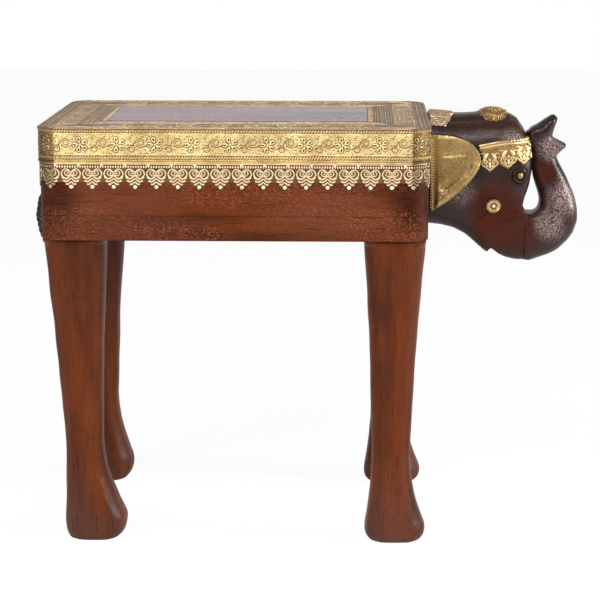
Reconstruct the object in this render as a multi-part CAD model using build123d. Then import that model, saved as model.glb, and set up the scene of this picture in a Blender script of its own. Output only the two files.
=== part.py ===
from build123d import *
import os
from math import cos, pi, radians, sin

# Carved elephant stool: a brass-clad seat on four elephant legs, with the head at one end and the
# tail at the other. Lengths in millimetres. While it is being built, X = 0 and Y = 0 are the middle
# of the seat, Z = 0 is the floor and the head looks along +X; at the end the whole stool is moved
# along X so that the origin is under the middle of its overall box. On the head, "reach" is counted
# from the head end of the seat along +X, and "drop" down from the crest of the seat.

# Seat
SEAT_LENGTH = 420.0
SEAT_WIDTH = 300.0
SEAT_HEIGHT = 457.0
SEAT_CORNER_RADIUS = 25.0
BOARD_THICKNESS = 35.4
SHEET_RELIEF = 1.6          # sheet brass on the seat, measured over its embossing
PANEL_LENGTH = 284.0
PANEL_WIDTH = 150.0
PANEL_THICKNESS = 6.0

# Body under the seat: two courses of mitred boards round four corner blocks
UPPER_COURSE_HEIGHT = 57.0
LOWER_COURSE_HEIGHT = 26.5
COURSE_INSET = 2.4          # face of the boards behind the brass edge of the seat
COURSE_THICKNESS = 24.0
COURSE_CHAMFER = 0.8        # broken edges that draw the seam between the two courses
BLOCK_SIDE = 60.0
DOWEL_CLEARANCE = 0.1       # round every dowel

# Strip of brass leaves that hangs below the seat board
LEAF_DEPTH = 29.0
LEAF_HEADER = 8.6           # beaded top of the strip, above the notches
LEAF_PITCH = 22.8
LEAF_PHASE = 9.4            # first leaf from the middle of the near side
LEAF_RELIEF = 1.4
LEAF_NOTCH = 2.3            # open width between two leaves at their shoulders
LEAF_CHEEK_SHARE = 0.19     # half width of the gap at mid height, as a share of the pitch
LEAF_BEAD_RADIUS = 1.7      # bead at the tip of each leaf

# Legs. Each edge is (half width at the top, at the waist, at the foot, inset of the sole,
# sweep of the upper part), measured from the leg's own axis.
LEG_END_INSET = 37.6        # axis of a leg from the end of the seat
LEG_SIDE_INSET = 36.0       # and from its side
LEG_EDGE_RADIUS = 10.0
LEG_STEPS = 5               # facets of each sweep, above and below the waist
TOE_STEPS = 3
CORNER_FACETS = 4           # facets round each corner of the legs and the trunk
LEG_FLANK = (30.0, 22.0, 30.0, 4.0, 1.6)
FRONT_LEG_REAR = (33.8, 23.5, 31.0, 4.5, 1.8)
FRONT_LEG_FORE = (33.6, 18.6, 36.4, 6.0, 1.6)
HIND_LEG_REAR = (34.0, 15.5, 17.8, 4.0, 1.1)
HIND_LEG_FORE = (33.5, 25.0, 50.7, 9.0, 1.6)
FAR_HIND_LEG_REAR = (34.0, 20.0, 22.0, 4.0, 1.1)
FAR_HIND_LEG_FORE = (28.0, 14.0, 32.0, 8.0, 1.4)
FRONT_WAIST_HEIGHT = 90.0
HIND_WAIST_HEIGHT = 105.0
FRONT_TOE_HEIGHT = 14.0
HIND_TOE_HEIGHT = 22.0
FLARE_SWEEP = 1.75
LEG_DOWEL_RADIUS = 6.0
LEG_DOWEL_LENGTH = 70.0
LEG_DOWEL_SETBACK = 20.0    # from the inner faces of the boards

# Head. Each station is (reach, rise of the crown above the seat, drop of the throat,
# half width of the jaw, half width of the cheeks).
HEAD_STATIONS = (
    (-8.0, 4.5, 121.0, 36.0, 43.0),
    (15.0, 3.0, 123.5, 36.0, 44.0),
    (30.0, 1.6, 127.5, 35.0, 44.5),
    (44.0, 2.0, 134.5, 33.0, 45.0),
    (58.0, 3.2, 146.5, 30.0, 44.5),
    (68.0, 3.5, 155.5, 27.5, 43.5),
    (78.0, 3.3, 156.5, 26.0, 42.0),
    (90.0, 2.4, 161.5, 25.0, 39.5),
    (99.0, -2.8, 163.8, 24.4, 37.5),
    (107.0, -14.5, 164.5, 24.0, 34.5),
    (112.0, -26.0, 164.2, 24.0, 31.5),
)
# The brow stands out above the root of the trunk: (reach, drop of its top and foot, half width).
BROW_STATIONS = (
    (112.0, 26.0, 108.0, 30.5),
    (114.2, 36.0, 94.0, 27.0),
    (115.6, 46.0, 74.0, 22.0),
)
HEAD_SQUARENESS = 3.0
HEAD_FACETS = 32
CHEEK_TO_JAW = (-0.45, 0.05)  # where the cheeks draw in, on a scale of -1 at the throat to 1
MOUTH = ((68.2, 157.0), (71.6, 151.0), (74.5, 150.8), (84.0, 159.0), (84.0, 172.0), (68.2, 172.0))
HEAD_DOWEL_RADIUS = 7.0
HEAD_DOWEL_SPREAD = 20.0
HEAD_DOWEL_DROP = 79.0
HEAD_DOWEL_REACH = 45.0

# Trunk: its two edges seen from the side, as (reach, drop) from the glue face to the tip.
TRUNK_INNER_EDGE = (
    (112.0, 111.0),
    (121.0, 110.2),
    (126.2, 104.8),
    (128.2, 97.5),
    (127.0, 90.0),
    (123.6, 80.0),
    (119.3, 65.0),
    (118.2, 50.0),
    (118.0, 38.0),
)
TRUNK_OUTER_EDGE = (
    (112.0, 164.2),
    (135.7, 157.0),
    (156.0, 144.0),
    (168.0, 127.0),
    (170.3, 111.0),
    (167.4, 96.0),
    (160.0, 77.0),
    (150.7, 59.0),
    (144.3, 46.5),
    (139.6, 35.0),
)
TRUNK_ROOT_HALF_WIDTH = 24.0
TRUNK_END_HALF_WIDTH = 13.5
TRUNK_TAPER = 1.3           # above 1, the trunk keeps its width near the root
TRUNK_ROUNDING = 7.0
TRUNK_STEPS = 13
# The open tip, as (reach, drop) round its outline.
TRUNK_TIP = (
    (119.4, 55.0),
    (117.9, 40.0),
    (114.6, 26.0),
    (112.6, 19.6),
    (116.6, 14.0),
    (141.0, -0.3),
    (145.6, 3.5),
    (139.4, 24.2),
    (155.8, 33.0),
    (155.0, 36.0),
    (143.6, 47.0),
    (141.5, 55.0),
)
TRUNK_TIP_HALF_WIDTH = 15.0
TRUNK_TIP_FLAT = 8.0        # half width that keeps the full outline
TRUNK_TIP_BEVEL = 0.78      # outline on the two sides, as a share of the full one
TRUNK_TIP_MIDDLE = (131.0, 30.0)
TRUNK_DOWEL_RADIUS = 5.0
TRUNK_DOWEL_LENGTH = 40.0
TRUNK_DOWEL_DROP = 137.6

# Ears: the rim as shares of the spread and of the depth, from the top of the straight rear edge.
EAR_SETBACK = 6.0           # rear edge from the seat
EAR_TOP_DROP = 17.0
EAR_DEPTH = 85.5
EAR_SPREAD = 51.3
EAR_RIM = ((0.0, 0.0), (0.41, 0.02), (0.80, 0.12), (1.0, 0.33), (0.86, 0.54), (0.43, 0.80), (0.03, 1.0))
EAR_FACE = 51.5             # outer face of the wooden ear, from the middle plane
EAR_ROOT = 34.0             # depth at which the ear is certainly inside the head
EAR_SHEET = 1.3

# Brass on the head
BRASS_BED = 0.2             # pitch between the wood and the sheet
BAND_RELIEF = 1.3
BAND_OUTLINE = (
    (58.6, 32.0),
    (83.0, 26.0),
    (107.0, 23.0),
    (122.0, 21.5),
    (122.0, 46.0),
    (111.5, 45.5),
    (106.1, 52.4),
    (97.5, 46.0),
    (88.4, 56.3),
    (78.0, 50.5),
    (67.5, 59.5),
    (59.6, 49.5),
)
MEDALLION_REACH = 72.0
MEDALLION_RADIUS = 21.0
MEDALLION_LOBES = 12
MEDALLION_LOBE_RADIUS = 5.6
MEDALLION_RELIEF = 1.8
MEDALLION_BOSS_RADIUS = 15.0
MEDALLION_BOSS_RELIEF = 5.6
NECK_LEAF_START = 1.0
NECK_LEAF_LENGTH = 29.0
NECK_LEAF_WIDTH = 72.0
NECK_LEAF_RADIUS = 14.0
NECK_LEAF_RELIEF = 1.2
ROSETTE_REACH = 73.3
ROSETTE_DROP = 98.8
ROSETTE_RADIUS = 8.5
ROSETTE_RELIEF = 2.4
EYE_REACH = 102.1
EYE_DROP = 64.0
EYE_RADIUS = 3.4
EYE_RELIEF = 2.4

# Tail: (angle above the rearmost point in degrees, radius) along its arc
TAIL_ARC_RADIUS = 57.0
TAIL_OVERHANG = 27.3        # how far the tail stands out behind the boards
TAIL_MIDDLE_DROP = 117.0
TAIL_RADIUS = 8.0
TAIL_FACETS = 12
TAIL_STATIONS = (
    (62.0, 9.0),
    (40.0, 8.6),
    (18.0, 8.0),
    (0.0, 8.0),
    (-18.0, 7.4),
    (-34.0, 7.8),
    (-46.0, 6.4),
    (-54.0, 2.4),
)
TAIL_DOWEL_RADIUS = 3.0
TAIL_DOWEL_DROP = 80.0
TAIL_DOWEL_INSIDE = 18.0
TAIL_DOWEL_OUTSIDE = 7.0

# Sizes that follow from the ones above
BOARD_TOP = SEAT_HEIGHT - SHEET_RELIEF
BOARD_BOTTOM = BOARD_TOP - BOARD_THICKNESS
SEAM_HEIGHT = BOARD_BOTTOM - UPPER_COURSE_HEIGHT
LEG_HEIGHT = SEAM_HEIGHT - LOWER_COURSE_HEIGHT
PANEL_BOTTOM = SEAT_HEIGHT - PANEL_THICKNESS
SEAT_END = SEAT_LENGTH / 2
LEG_AXIS_X = SEAT_END - LEG_END_INSET
LEG_AXIS_Y = SEAT_WIDTH / 2 - LEG_SIDE_INSET
COURSE_LENGTH = SEAT_LENGTH - 2 * COURSE_INSET
COURSE_WIDTH = SEAT_WIDTH - 2 * COURSE_INSET
COURSE_RADIUS = SEAT_CORNER_RADIUS - COURSE_INSET
INNER_HALF_LENGTH = COURSE_LENGTH / 2 - COURSE_THICKNESS
INNER_HALF_WIDTH = COURSE_WIDTH / 2 - COURSE_THICKNESS
BLOCK_X = INNER_HALF_LENGTH - BLOCK_SIDE / 2
BLOCK_Y = INNER_HALF_WIDTH - BLOCK_SIDE / 2
FACE_REACH = HEAD_STATIONS[-1][0]
BEYOND = 20.0               # how far scribing blocks stand past the pieces they cut
HEAD_SPAN = 60.0            # half width that every piece of the head lies inside
FLATNESS = 0.0001           # twist below which four corners are one facet, as a share of their size

SIDES = {"near": -1, "far": 1}
ENDS = {"hind": -1, "front": 1}


def rounded_prism(length, width, radius, bottom, top):
    """A block with rounded upright corners, centred on the middle of the seat."""
    return extrude(Pos(0, 0, bottom) * RectangleRounded(length, width, radius), top - bottom)


def block(length, width, bottom, top):
    """A square-cornered block, centred on the middle of the seat."""
    return extrude(Pos(0, 0, bottom) * Rectangle(length, width), top - bottom)


def rod(start, end, radius):
    """A round rod between two points."""
    axis = Vector(*end) - Vector(*start)
    return extrude(Plane(origin=start, z_dir=axis) * Circle(radius), axis.length)


def side_prism(points, half_width):
    """An outline in reach and drop, drawn from the side, as a prism right across the stool."""
    corners = [(SEAT_END + reach, -half_width, SEAT_HEIGHT - drop) for reach, drop in points]
    return extrude(make_face(Polyline(*corners, close=True)), 2 * half_width, dir=(0, 1, 0))


def mitred(frame, outer_half, inner_half):
    """The strips of a rectangular frame, parted at its mitres, by the side each one lies on."""
    box = frame.bounding_box()
    spill = 0.1

    def corner(sign_x, sign_y, share):
        return tuple(
            sign * (inner + share * (outer - inner))
            for sign, inner, outer in zip((sign_x, sign_y), inner_half, outer_half)
        )

    mitres = {
        "near": ((-1, -1), (1, -1)),
        "head": ((1, -1), (1, 1)),
        "far": ((1, 1), (-1, 1)),
        "tail": ((-1, 1), (-1, -1)),
    }
    strips = {}
    for side, (first, second) in mitres.items():
        outline = Polyline(
            corner(*first, 1 + spill),
            corner(*second, 1 + spill),
            corner(*second, -spill),
            corner(*first, -spill),
            close=True,
        )
        strips[side] = frame & extrude(Pos(0, 0, box.min.Z) * make_face(outline), box.size.Z)
    return strips


def rounded_square(half_width, half_height, narrowing=None):
    """Points of a rounded square; with narrowing, its lower part is that share of the full width."""
    points = []
    for step in range(HEAD_FACETS):
        angle = 2 * pi * step / HEAD_FACETS - pi / 2
        across, up = (
            abs(part) ** (2 / HEAD_SQUARENESS) * (1 if part >= 0 else -1)
            for part in (cos(angle), sin(angle))
        )
        width = half_width
        if narrowing is not None:
            low, high = CHEEK_TO_JAW
            share = min(1.0, max(0.0, (up - low) / (high - low)))
            share = share * share * (3 - 2 * share)
            width *= narrowing + (1 - narrowing) * share
        points.append((across * width, up * half_height))
    return points


def rounded_corners(width, depth, radius):
    """Points of a rectangle whose corners are cut round in flat facets."""
    points = []
    for corner in range(4):
        turn = pi / 2 * corner
        x = (width / 2 - radius) * (1 if corner in (0, 3) else -1)
        y = (depth / 2 - radius) * (1 if corner < 2 else -1)
        for step in range(CORNER_FACETS + 1):
            angle = turn + pi / 2 * step / CORNER_FACETS
            points.append((x + radius * cos(angle), y + radius * sin(angle)))
    return points


def flat_face(points):
    """The face inside a closed outline."""
    return make_face(Polyline(*points, close=True))


def facets(corners):
    """Four corners of a carved surface as one flat facet, or as two where they are twisted."""
    first, second, third, fourth = (Vector(*corner) for corner in corners)
    twist = (second - first).cross(third - first).dot(fourth - first)
    if abs(twist) < FLATNESS * (third - first).length ** 2:
        return [flat_face(corners)]
    return [flat_face(corners[:3]), flat_face((corners[2], corners[3], corners[0]))]


def faceted(rings):
    """A solid carved in flat facets through rings that all have the same number of points."""
    faces = [flat_face(rings[0]), flat_face(rings[-1])]
    for ring, following in zip(rings, rings[1:]):
        for index in range(len(ring)):
            before = index - 1
            faces += facets((ring[before], ring[index], following[index], following[before]))
    return Solid(Shell(faces))


def lifted(points, plane):
    """Points of a plane as places in space."""
    return [tuple(plane.from_local_coords(Vector(*point))) for point in points]


# ---------------------------------------------------------------- seat and body

def dowel_places():
    """Axes of the four leg dowels, by end and side."""
    x = INNER_HALF_LENGTH - LEG_DOWEL_SETBACK
    y = INNER_HALF_WIDTH - LEG_DOWEL_SETBACK
    return {(end, side): (ENDS[end] * x, SIDES[side] * y) for end in ENDS for side in SIDES}


def leg_dowel(x, y, clearance=0.0):
    """A dowel that joins a leg to its corner block, or the hole it takes."""
    half = LEG_DOWEL_LENGTH / 2 + clearance
    return rod((x, y, LEG_HEIGHT - half), (x, y, LEG_HEIGHT + half), LEG_DOWEL_RADIUS + clearance)


def make_seat():
    """Seat board, the polished panel let into it and the brass round and over its edge."""
    board_length = SEAT_LENGTH - 2 * SHEET_RELIEF
    board_width = SEAT_WIDTH - 2 * SHEET_RELIEF
    board_radius = SEAT_CORNER_RADIUS - SHEET_RELIEF
    core = rounded_prism(board_length, board_width, board_radius, BOARD_BOTTOM, BOARD_TOP)
    panel = block(PANEL_LENGTH, PANEL_WIDTH, PANEL_BOTTOM, SEAT_HEIGHT)
    seat = {"seat_board": core - panel, "seat_panel": panel}
    skirt = rounded_prism(SEAT_LENGTH, SEAT_WIDTH, SEAT_CORNER_RADIUS, BOARD_BOTTOM, BOARD_TOP)
    seat["flower_band"] = skirt - core
    border = rounded_prism(SEAT_LENGTH, SEAT_WIDTH, SEAT_CORNER_RADIUS, BOARD_TOP, SEAT_HEIGHT) - panel
    strips = mitred(border, (SEAT_LENGTH / 2, SEAT_WIDTH / 2), (PANEL_LENGTH / 2, PANEL_WIDTH / 2))
    for side, strip in strips.items():
        seat[f"top_border_{side}"] = strip
    return seat


def make_course(name, bottom, top, chamfer_top):
    """One course of the body: a rounded ring of four mitred boards."""
    outside = rounded_prism(COURSE_LENGTH, COURSE_WIDTH, COURSE_RADIUS, bottom, top)
    seam_edges = outside.edges().group_by(Axis.Z)[-1 if chamfer_top else 0]
    outside = chamfer(seam_edges, COURSE_CHAMFER)
    ring = outside - block(2 * INNER_HALF_LENGTH, 2 * INNER_HALF_WIDTH, bottom, top)
    outer_half = (COURSE_LENGTH / 2, COURSE_WIDTH / 2)
    strips = mitred(ring, outer_half, (INNER_HALF_LENGTH, INNER_HALF_WIDTH))
    return {f"{name}_{side}": strip for side, strip in strips.items()}


def make_blocks():
    """Corner blocks glued inside the body, with the dowels that join them to the legs."""
    parts = {}
    corners = {(end, side): (ENDS[end] * BLOCK_X, SIDES[side] * BLOCK_Y) for end in ENDS for side in SIDES}
    for (end, side), (x, y) in corners.items():
        post = Pos(x, y, 0) * block(BLOCK_SIDE, BLOCK_SIDE, LEG_HEIGHT, BOARD_BOTTOM)
        dowel_hole = leg_dowel(*dowel_places()[end, side], DOWEL_CLEARANCE)
        parts[f"corner_block_{end}_{side}"] = post - dowel_hole
    parts["leg_dowels"] = Compound([leg_dowel(x, y).solid() for x, y in dowel_places().values()])
    return parts


def edge_place(distance, length, width, radius):
    """Location on the outline of a rounded rectangle, counted from the middle of its near side.

    Its x runs along the outline, its y is up and its z points outwards.
    """
    straight_x = length - 2 * radius
    straight_y = width - 2 * radius
    arc = pi * radius / 2
    distance %= 2 * (straight_x + straight_y) + 4 * arc
    distance += straight_x / 2
    corner = (straight_x / 2, -straight_y / 2)
    heading = 0.0
    for leg, straight in enumerate((straight_x, straight_y) * 3):
        if distance <= straight:
            along = distance - straight
            turn = 0.0
            break
        distance -= straight
        if distance <= arc:
            along = 0.0
            turn = distance / radius
            break
        distance -= arc
        heading += pi / 2
        step = straight_y if leg % 2 == 0 else straight_x
        corner = (corner[0] + step * cos(heading), corner[1] + step * sin(heading))
    facing = heading + turn - pi / 2
    x = corner[0] + radius * cos(facing) + along * cos(heading)
    y = corner[1] + radius * sin(facing) + along * sin(heading)
    return Plane(origin=(x, y, 0), x_dir=(-sin(facing), cos(facing), 0), z_dir=(cos(facing), sin(facing), 0))


def leaf_notch(pitch):
    """Outline of the gap between two leaves: x along the strip, y down from the seat board."""
    shoulder = -LEAF_HEADER - LEAF_NOTCH
    bead_middle = -LEAF_DEPTH + LEAF_BEAD_RADIUS
    right = (
        (LEAF_NOTCH / 2, shoulder),
        (LEAF_CHEEK_SHARE * pitch, (shoulder + bead_middle) / 2),
        (pitch / 2 - LEAF_BEAD_RADIUS, bead_middle),
        (pitch / 2, -LEAF_DEPTH - LEAF_BEAD_RADIUS),
    )
    left = tuple((-x, y) for x, y in reversed(right))
    return make_face(Polyline((0, -LEAF_HEADER), *right, *left, close=True))


def make_leaf_band():
    """The scalloped strip of brass leaves round the top of the body."""
    length = COURSE_LENGTH + 2 * LEAF_RELIEF
    width = COURSE_WIDTH + 2 * LEAF_RELIEF
    radius = COURSE_RADIUS + LEAF_RELIEF
    bottom = BOARD_BOTTOM - LEAF_DEPTH
    band = rounded_prism(length, width, radius, bottom, BOARD_BOTTOM)
    band -= rounded_prism(COURSE_LENGTH, COURSE_WIDTH, COURSE_RADIUS, bottom, BOARD_BOTTOM)
    outline = 2 * (length + width) - 8 * radius + 2 * pi * radius
    count = round(outline / LEAF_PITCH)
    pitch = outline / count
    depth = 2 * LEAF_RELIEF + radius / 4
    cutter = Pos(0, 0, -depth) * extrude(leaf_notch(pitch), depth + LEAF_RELIEF)
    notches = []
    for leaf in range(count):
        place = edge_place(LEAF_PHASE + (leaf + 0.5) * pitch, length, width, radius)
        notches.append(Pos(0, 0, BOARD_BOTTOM) * place.location * cutter)
    return band - notches


# ---------------------------------------------------------------- legs

def leg_half_width(edge, height, waist_height, toe_height):
    """Distance of one edge of a leg from its axis: a long sweep, a flare and a round toe."""
    top, waist, foot, sole, sweep = edge
    if height >= waist_height:
        share = (height - waist_height) / (LEG_HEIGHT - waist_height)
        return waist + (top - waist) * share ** sweep
    share = min(1.0, (waist_height - height) / (waist_height - toe_height))
    width = waist + (foot - waist) * share ** FLARE_SWEEP
    drop = max(0.0, 1 - height / toe_height)
    return width - sole * (1 - (1 - drop ** 2) ** 0.5)


def stepped(start, end, steps):
    """Evenly spaced values after a start, up to and including the end."""
    return [start + (end - start) * step / steps for step in range(1, steps + 1)]


def carved_leg(end, side, rear, fore):
    """A leg carved down from the body through its waist and its flared foot, with round corners."""
    waist_height = {"hind": HIND_WAIST_HEIGHT, "front": FRONT_WAIST_HEIGHT}[end]
    toe_height = {"hind": HIND_TOE_HEIGHT, "front": FRONT_TOE_HEIGHT}[end]
    heights = [LEG_HEIGHT, *stepped(LEG_HEIGHT, waist_height, LEG_STEPS)]
    heights += stepped(waist_height, toe_height, LEG_STEPS)
    heights += stepped(toe_height, 0.0, TOE_STEPS)
    rings = []
    for height in heights:
        behind, ahead, flank = (
            leg_half_width(edge, height, waist_height, toe_height) for edge in (rear, fore, LEG_FLANK)
        )
        corners = rounded_corners(behind + ahead, 2 * flank, LEG_EDGE_RADIUS)
        rings.append([(x + (ahead - behind) / 2, y, height) for x, y in corners])
    leg = Pos(ENDS[end] * LEG_AXIS_X, SIDES[side] * LEG_AXIS_Y, 0) * faceted(rings)
    return leg - leg_dowel(*dowel_places()[end, side], DOWEL_CLEARANCE)


def make_legs():
    """Two front legs and two hind legs; the far hind leg is slimmer, with a shorter toe."""
    return {
        "front_leg_near": carved_leg("front", "near", FRONT_LEG_REAR, FRONT_LEG_FORE),
        "front_leg_far": carved_leg("front", "far", FRONT_LEG_REAR, FRONT_LEG_FORE),
        "hind_leg_near": carved_leg("hind", "near", HIND_LEG_REAR, HIND_LEG_FORE),
        "hind_leg_far": carved_leg("hind", "far", FAR_HIND_LEG_REAR, FAR_HIND_LEG_FORE),
    }


# ---------------------------------------------------------------- head

def body_outline():
    """The body as one closed block, with its brass, for scribing pieces against it."""
    above = SEAT_HEIGHT + BEYOND
    courses = rounded_prism(COURSE_LENGTH, COURSE_WIDTH, COURSE_RADIUS, LEG_HEIGHT, BOARD_BOTTOM)
    leaves = rounded_prism(
        COURSE_LENGTH + 2 * LEAF_RELIEF,
        COURSE_WIDTH + 2 * LEAF_RELIEF,
        COURSE_RADIUS + LEAF_RELIEF,
        BOARD_BOTTOM - LEAF_DEPTH,
        BOARD_BOTTOM,
    )
    seat = rounded_prism(SEAT_LENGTH, SEAT_WIDTH, SEAT_CORNER_RADIUS, BOARD_BOTTOM, above)
    return courses + leaves + seat


def cross_section(reach, top_drop, foot_drop, half_width, narrowing=None):
    """An upright rounded square round the head, given by the drops of its top and foot."""
    points = rounded_square(half_width, (foot_drop - top_drop) / 2, narrowing)
    middle = (SEAT_END + reach, 0, SEAT_HEIGHT - (top_drop + foot_drop) / 2)
    return lifted(points, Plane(origin=middle, x_dir=(0, 1, 0), z_dir=(1, 0, 0)))


def carved_head(growth=0.0):
    """The carved surface of the head and neck, or one that lies outside it by a growth."""
    head = []
    for station, (reach, rise, throat, jaw, cheek) in enumerate(HEAD_STATIONS):
        if station == len(HEAD_STATIONS) - 1:
            reach += growth
        half = cheek + growth
        head.append(cross_section(reach, -rise - growth, throat + growth, half, (jaw + growth) / half))
    brow = [
        cross_section(reach + growth, top - growth, foot + growth, half + growth)
        for reach, top, foot, half in BROW_STATIONS
    ]
    return faceted(head) + faceted(brow)


def head_dowel(sign, clearance=0.0):
    """One of the two dowels between the head and the head-end board, or its hole."""
    y = sign * HEAD_DOWEL_SPREAD
    z = SEAT_HEIGHT - HEAD_DOWEL_DROP
    start = (INNER_HALF_LENGTH, y, z)
    return rod(start, (SEAT_END + HEAD_DOWEL_REACH + clearance, y, z), HEAD_DOWEL_RADIUS + clearance)


def trunk_dowel(clearance=0.0):
    """The dowel across the glue face of the trunk, or its hole."""
    z = SEAT_HEIGHT - TRUNK_DOWEL_DROP
    half = TRUNK_DOWEL_LENGTH / 2 + clearance
    face = SEAT_END + FACE_REACH
    return rod((face - half, 0, z), (face + half, 0, z), TRUNK_DOWEL_RADIUS + clearance)


def ear_outline():
    """The ear from the side: a straight rear edge and a rounded rim that sweeps down to a point."""
    rim = [
        (SEAT_END + EAR_SETBACK + across * EAR_SPREAD, 0, SEAT_HEIGHT - EAR_TOP_DROP - down * EAR_DEPTH)
        for across, down in EAR_RIM
    ]
    return make_face(Curve() + Spline(*rim) + Line(rim[-1], rim[0]))


def make_ears(core):
    """Wooden ears scribed to the sides of the head, each clad with a sheet of brass."""
    parts = {}
    outline = ear_outline()
    for side, sign in SIDES.items():
        blank = extrude(Pos(0, sign * EAR_ROOT, 0) * outline, EAR_FACE - EAR_ROOT, dir=(0, sign, 0))
        parts[f"ear_{side}"] = blank - core
        sheet = Pos(0, sign * EAR_FACE, 0) * outline
        parts[f"ear_sheet_{side}"] = extrude(sheet, EAR_SHEET, dir=(0, sign, 0))
    return parts


def bedded(bed, relief, outline):
    """Sheet brass of a relief over the head, cut to the outline of a prism and hollow to its bed."""
    return (carved_head(relief) & outline) - bed


def upright_prism(sketch):
    """A prism through the crown of the head, from a sketch seen from above."""
    bottom = SEAT_HEIGHT - HEAD_DOWEL_DROP
    return extrude(Pos(SEAT_END, 0, bottom) * sketch, SEAT_HEIGHT + BEYOND - bottom)


def make_head_brass(body):
    """Forehead band, crown medallion, neck leaf, cheek rosettes and eye studs."""
    bed = carved_head(BRASS_BED) + carved_head()
    parts = {"forehead_band": bedded(bed, BAND_RELIEF, side_prism(BAND_OUTLINE, HEAD_SPAN))}
    middle = Pos(MEDALLION_REACH, 0)
    lobed = middle * Circle(MEDALLION_RADIUS - MEDALLION_LOBE_RADIUS / 2)
    lobe_circle = MEDALLION_RADIUS - MEDALLION_LOBE_RADIUS
    lobed += middle * PolarLocations(lobe_circle, MEDALLION_LOBES) * Circle(MEDALLION_LOBE_RADIUS)
    plate = bedded(bed, MEDALLION_RELIEF, upright_prism(lobed))
    boss = bedded(bed, MEDALLION_BOSS_RELIEF, upright_prism(middle * Circle(MEDALLION_BOSS_RADIUS)))
    parts["crown_medallion"] = plate + boss
    leaf = Pos(NECK_LEAF_START + NECK_LEAF_LENGTH / 2, 0) * RectangleRounded(
        NECK_LEAF_LENGTH, NECK_LEAF_WIDTH, NECK_LEAF_RADIUS
    )
    parts["neck_leaf"] = bedded(bed, NECK_LEAF_RELIEF, upright_prism(leaf)) - body
    studs = {
        "cheek_rosettes": (ROSETTE_REACH, ROSETTE_DROP, ROSETTE_RADIUS, ROSETTE_RELIEF),
        "eye_studs": (EYE_REACH, EYE_DROP, EYE_RADIUS, EYE_RELIEF),
    }
    for name, (reach, drop, radius, relief) in studs.items():
        x = SEAT_END + reach
        z = SEAT_HEIGHT - drop
        pair = bedded(bed, relief, rod((x, -HEAD_SPAN, z), (x, HEAD_SPAN, z), radius))
        parts[name] = Compound(pair.solids())
    return parts


def make_trunk(core):
    """The raised trunk: rounded sections that follow its two edges up to an open two-fingered tip."""
    inner, outer = (
        Spline(*[(SEAT_END + reach, 0, SEAT_HEIGHT - drop) for reach, drop in edge])
        for edge in (TRUNK_INNER_EDGE, TRUNK_OUTER_EDGE)
    )
    rings = []
    for step in range(TRUNK_STEPS + 1):
        share = step / TRUNK_STEPS
        across = (inner @ share) - (outer @ share)
        slimming = (TRUNK_ROOT_HALF_WIDTH - TRUNK_END_HALF_WIDTH) * share ** TRUNK_TAPER
        plane = Plane(
            origin=(inner @ share + outer @ share) / 2,
            x_dir=across,
            z_dir=across.cross(Vector(0, 1, 0)),
        )
        half_width = TRUNK_ROOT_HALF_WIDTH - slimming
        corners = rounded_corners(across.length, 2 * half_width, TRUNK_ROUNDING)
        rings.append(lifted(corners, plane))
    curved = faceted(rings)
    middle_reach, middle_drop = TRUNK_TIP_MIDDLE
    rings = []
    for y, scale in (
        (-TRUNK_TIP_HALF_WIDTH, TRUNK_TIP_BEVEL),
        (-TRUNK_TIP_FLAT, 1.0),
        (TRUNK_TIP_FLAT, 1.0),
        (TRUNK_TIP_HALF_WIDTH, TRUNK_TIP_BEVEL),
    ):
        corners = []
        for reach, drop in TRUNK_TIP:
            x = SEAT_END + middle_reach + scale * (reach - middle_reach)
            z = SEAT_HEIGHT - middle_drop - scale * (drop - middle_drop)
            corners.append((x, y, z))
        rings.append(corners)
    tip = faceted(rings)
    return curved + tip - core - trunk_dowel(DOWEL_CLEARANCE)


def make_tail(body):
    """The tail: an arc that leaves the tail-end board, hangs clear of it and turns in again."""
    middle_x = -(COURSE_LENGTH / 2 + TAIL_OVERHANG - TAIL_RADIUS - TAIL_ARC_RADIUS)
    middle_z = SEAT_HEIGHT - TAIL_MIDDLE_DROP
    rings = []
    for angle, radius in TAIL_STATIONS:
        swing = radians(angle)
        x = middle_x - TAIL_ARC_RADIUS * cos(swing)
        z = middle_z + TAIL_ARC_RADIUS * sin(swing)
        plane = Plane(origin=(x, 0, z), x_dir=(0, 1, 0), z_dir=(-sin(swing), 0, -cos(swing)))
        turns = [2 * pi * facet / TAIL_FACETS for facet in range(TAIL_FACETS)]
        rings.append(lifted([(radius * cos(turn), radius * sin(turn)) for turn in turns], plane))
    return faceted(rings) - body - tail_dowel(DOWEL_CLEARANCE)


def tail_dowel(clearance=0.0):
    """The dowel between the tail and the tail-end board, or its hole."""
    z = SEAT_HEIGHT - TAIL_DOWEL_DROP
    face = -COURSE_LENGTH / 2
    start = (face + TAIL_DOWEL_INSIDE + clearance, 0, z)
    return rod(start, (face - TAIL_DOWEL_OUTSIDE - clearance, 0, z), TAIL_DOWEL_RADIUS + clearance)


def make_head(body):
    """Head block with every piece that is fastened to it."""
    core = carved_head() - body
    parts = make_ears(core)
    parts.update(make_head_brass(body))
    parts["head_dowels"] = Compound([head_dowel(sign).solid() for sign in SIDES.values()])
    parts["trunk_dowel"] = trunk_dowel()
    parts["trunk"] = make_trunk(core)
    head = core - side_prism(MOUTH, HEAD_SPAN) - trunk_dowel(DOWEL_CLEARANCE)
    for sign in SIDES.values():
        head -= head_dowel(sign, DOWEL_CLEARANCE)
    parts["head_block"] = head
    return parts


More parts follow.
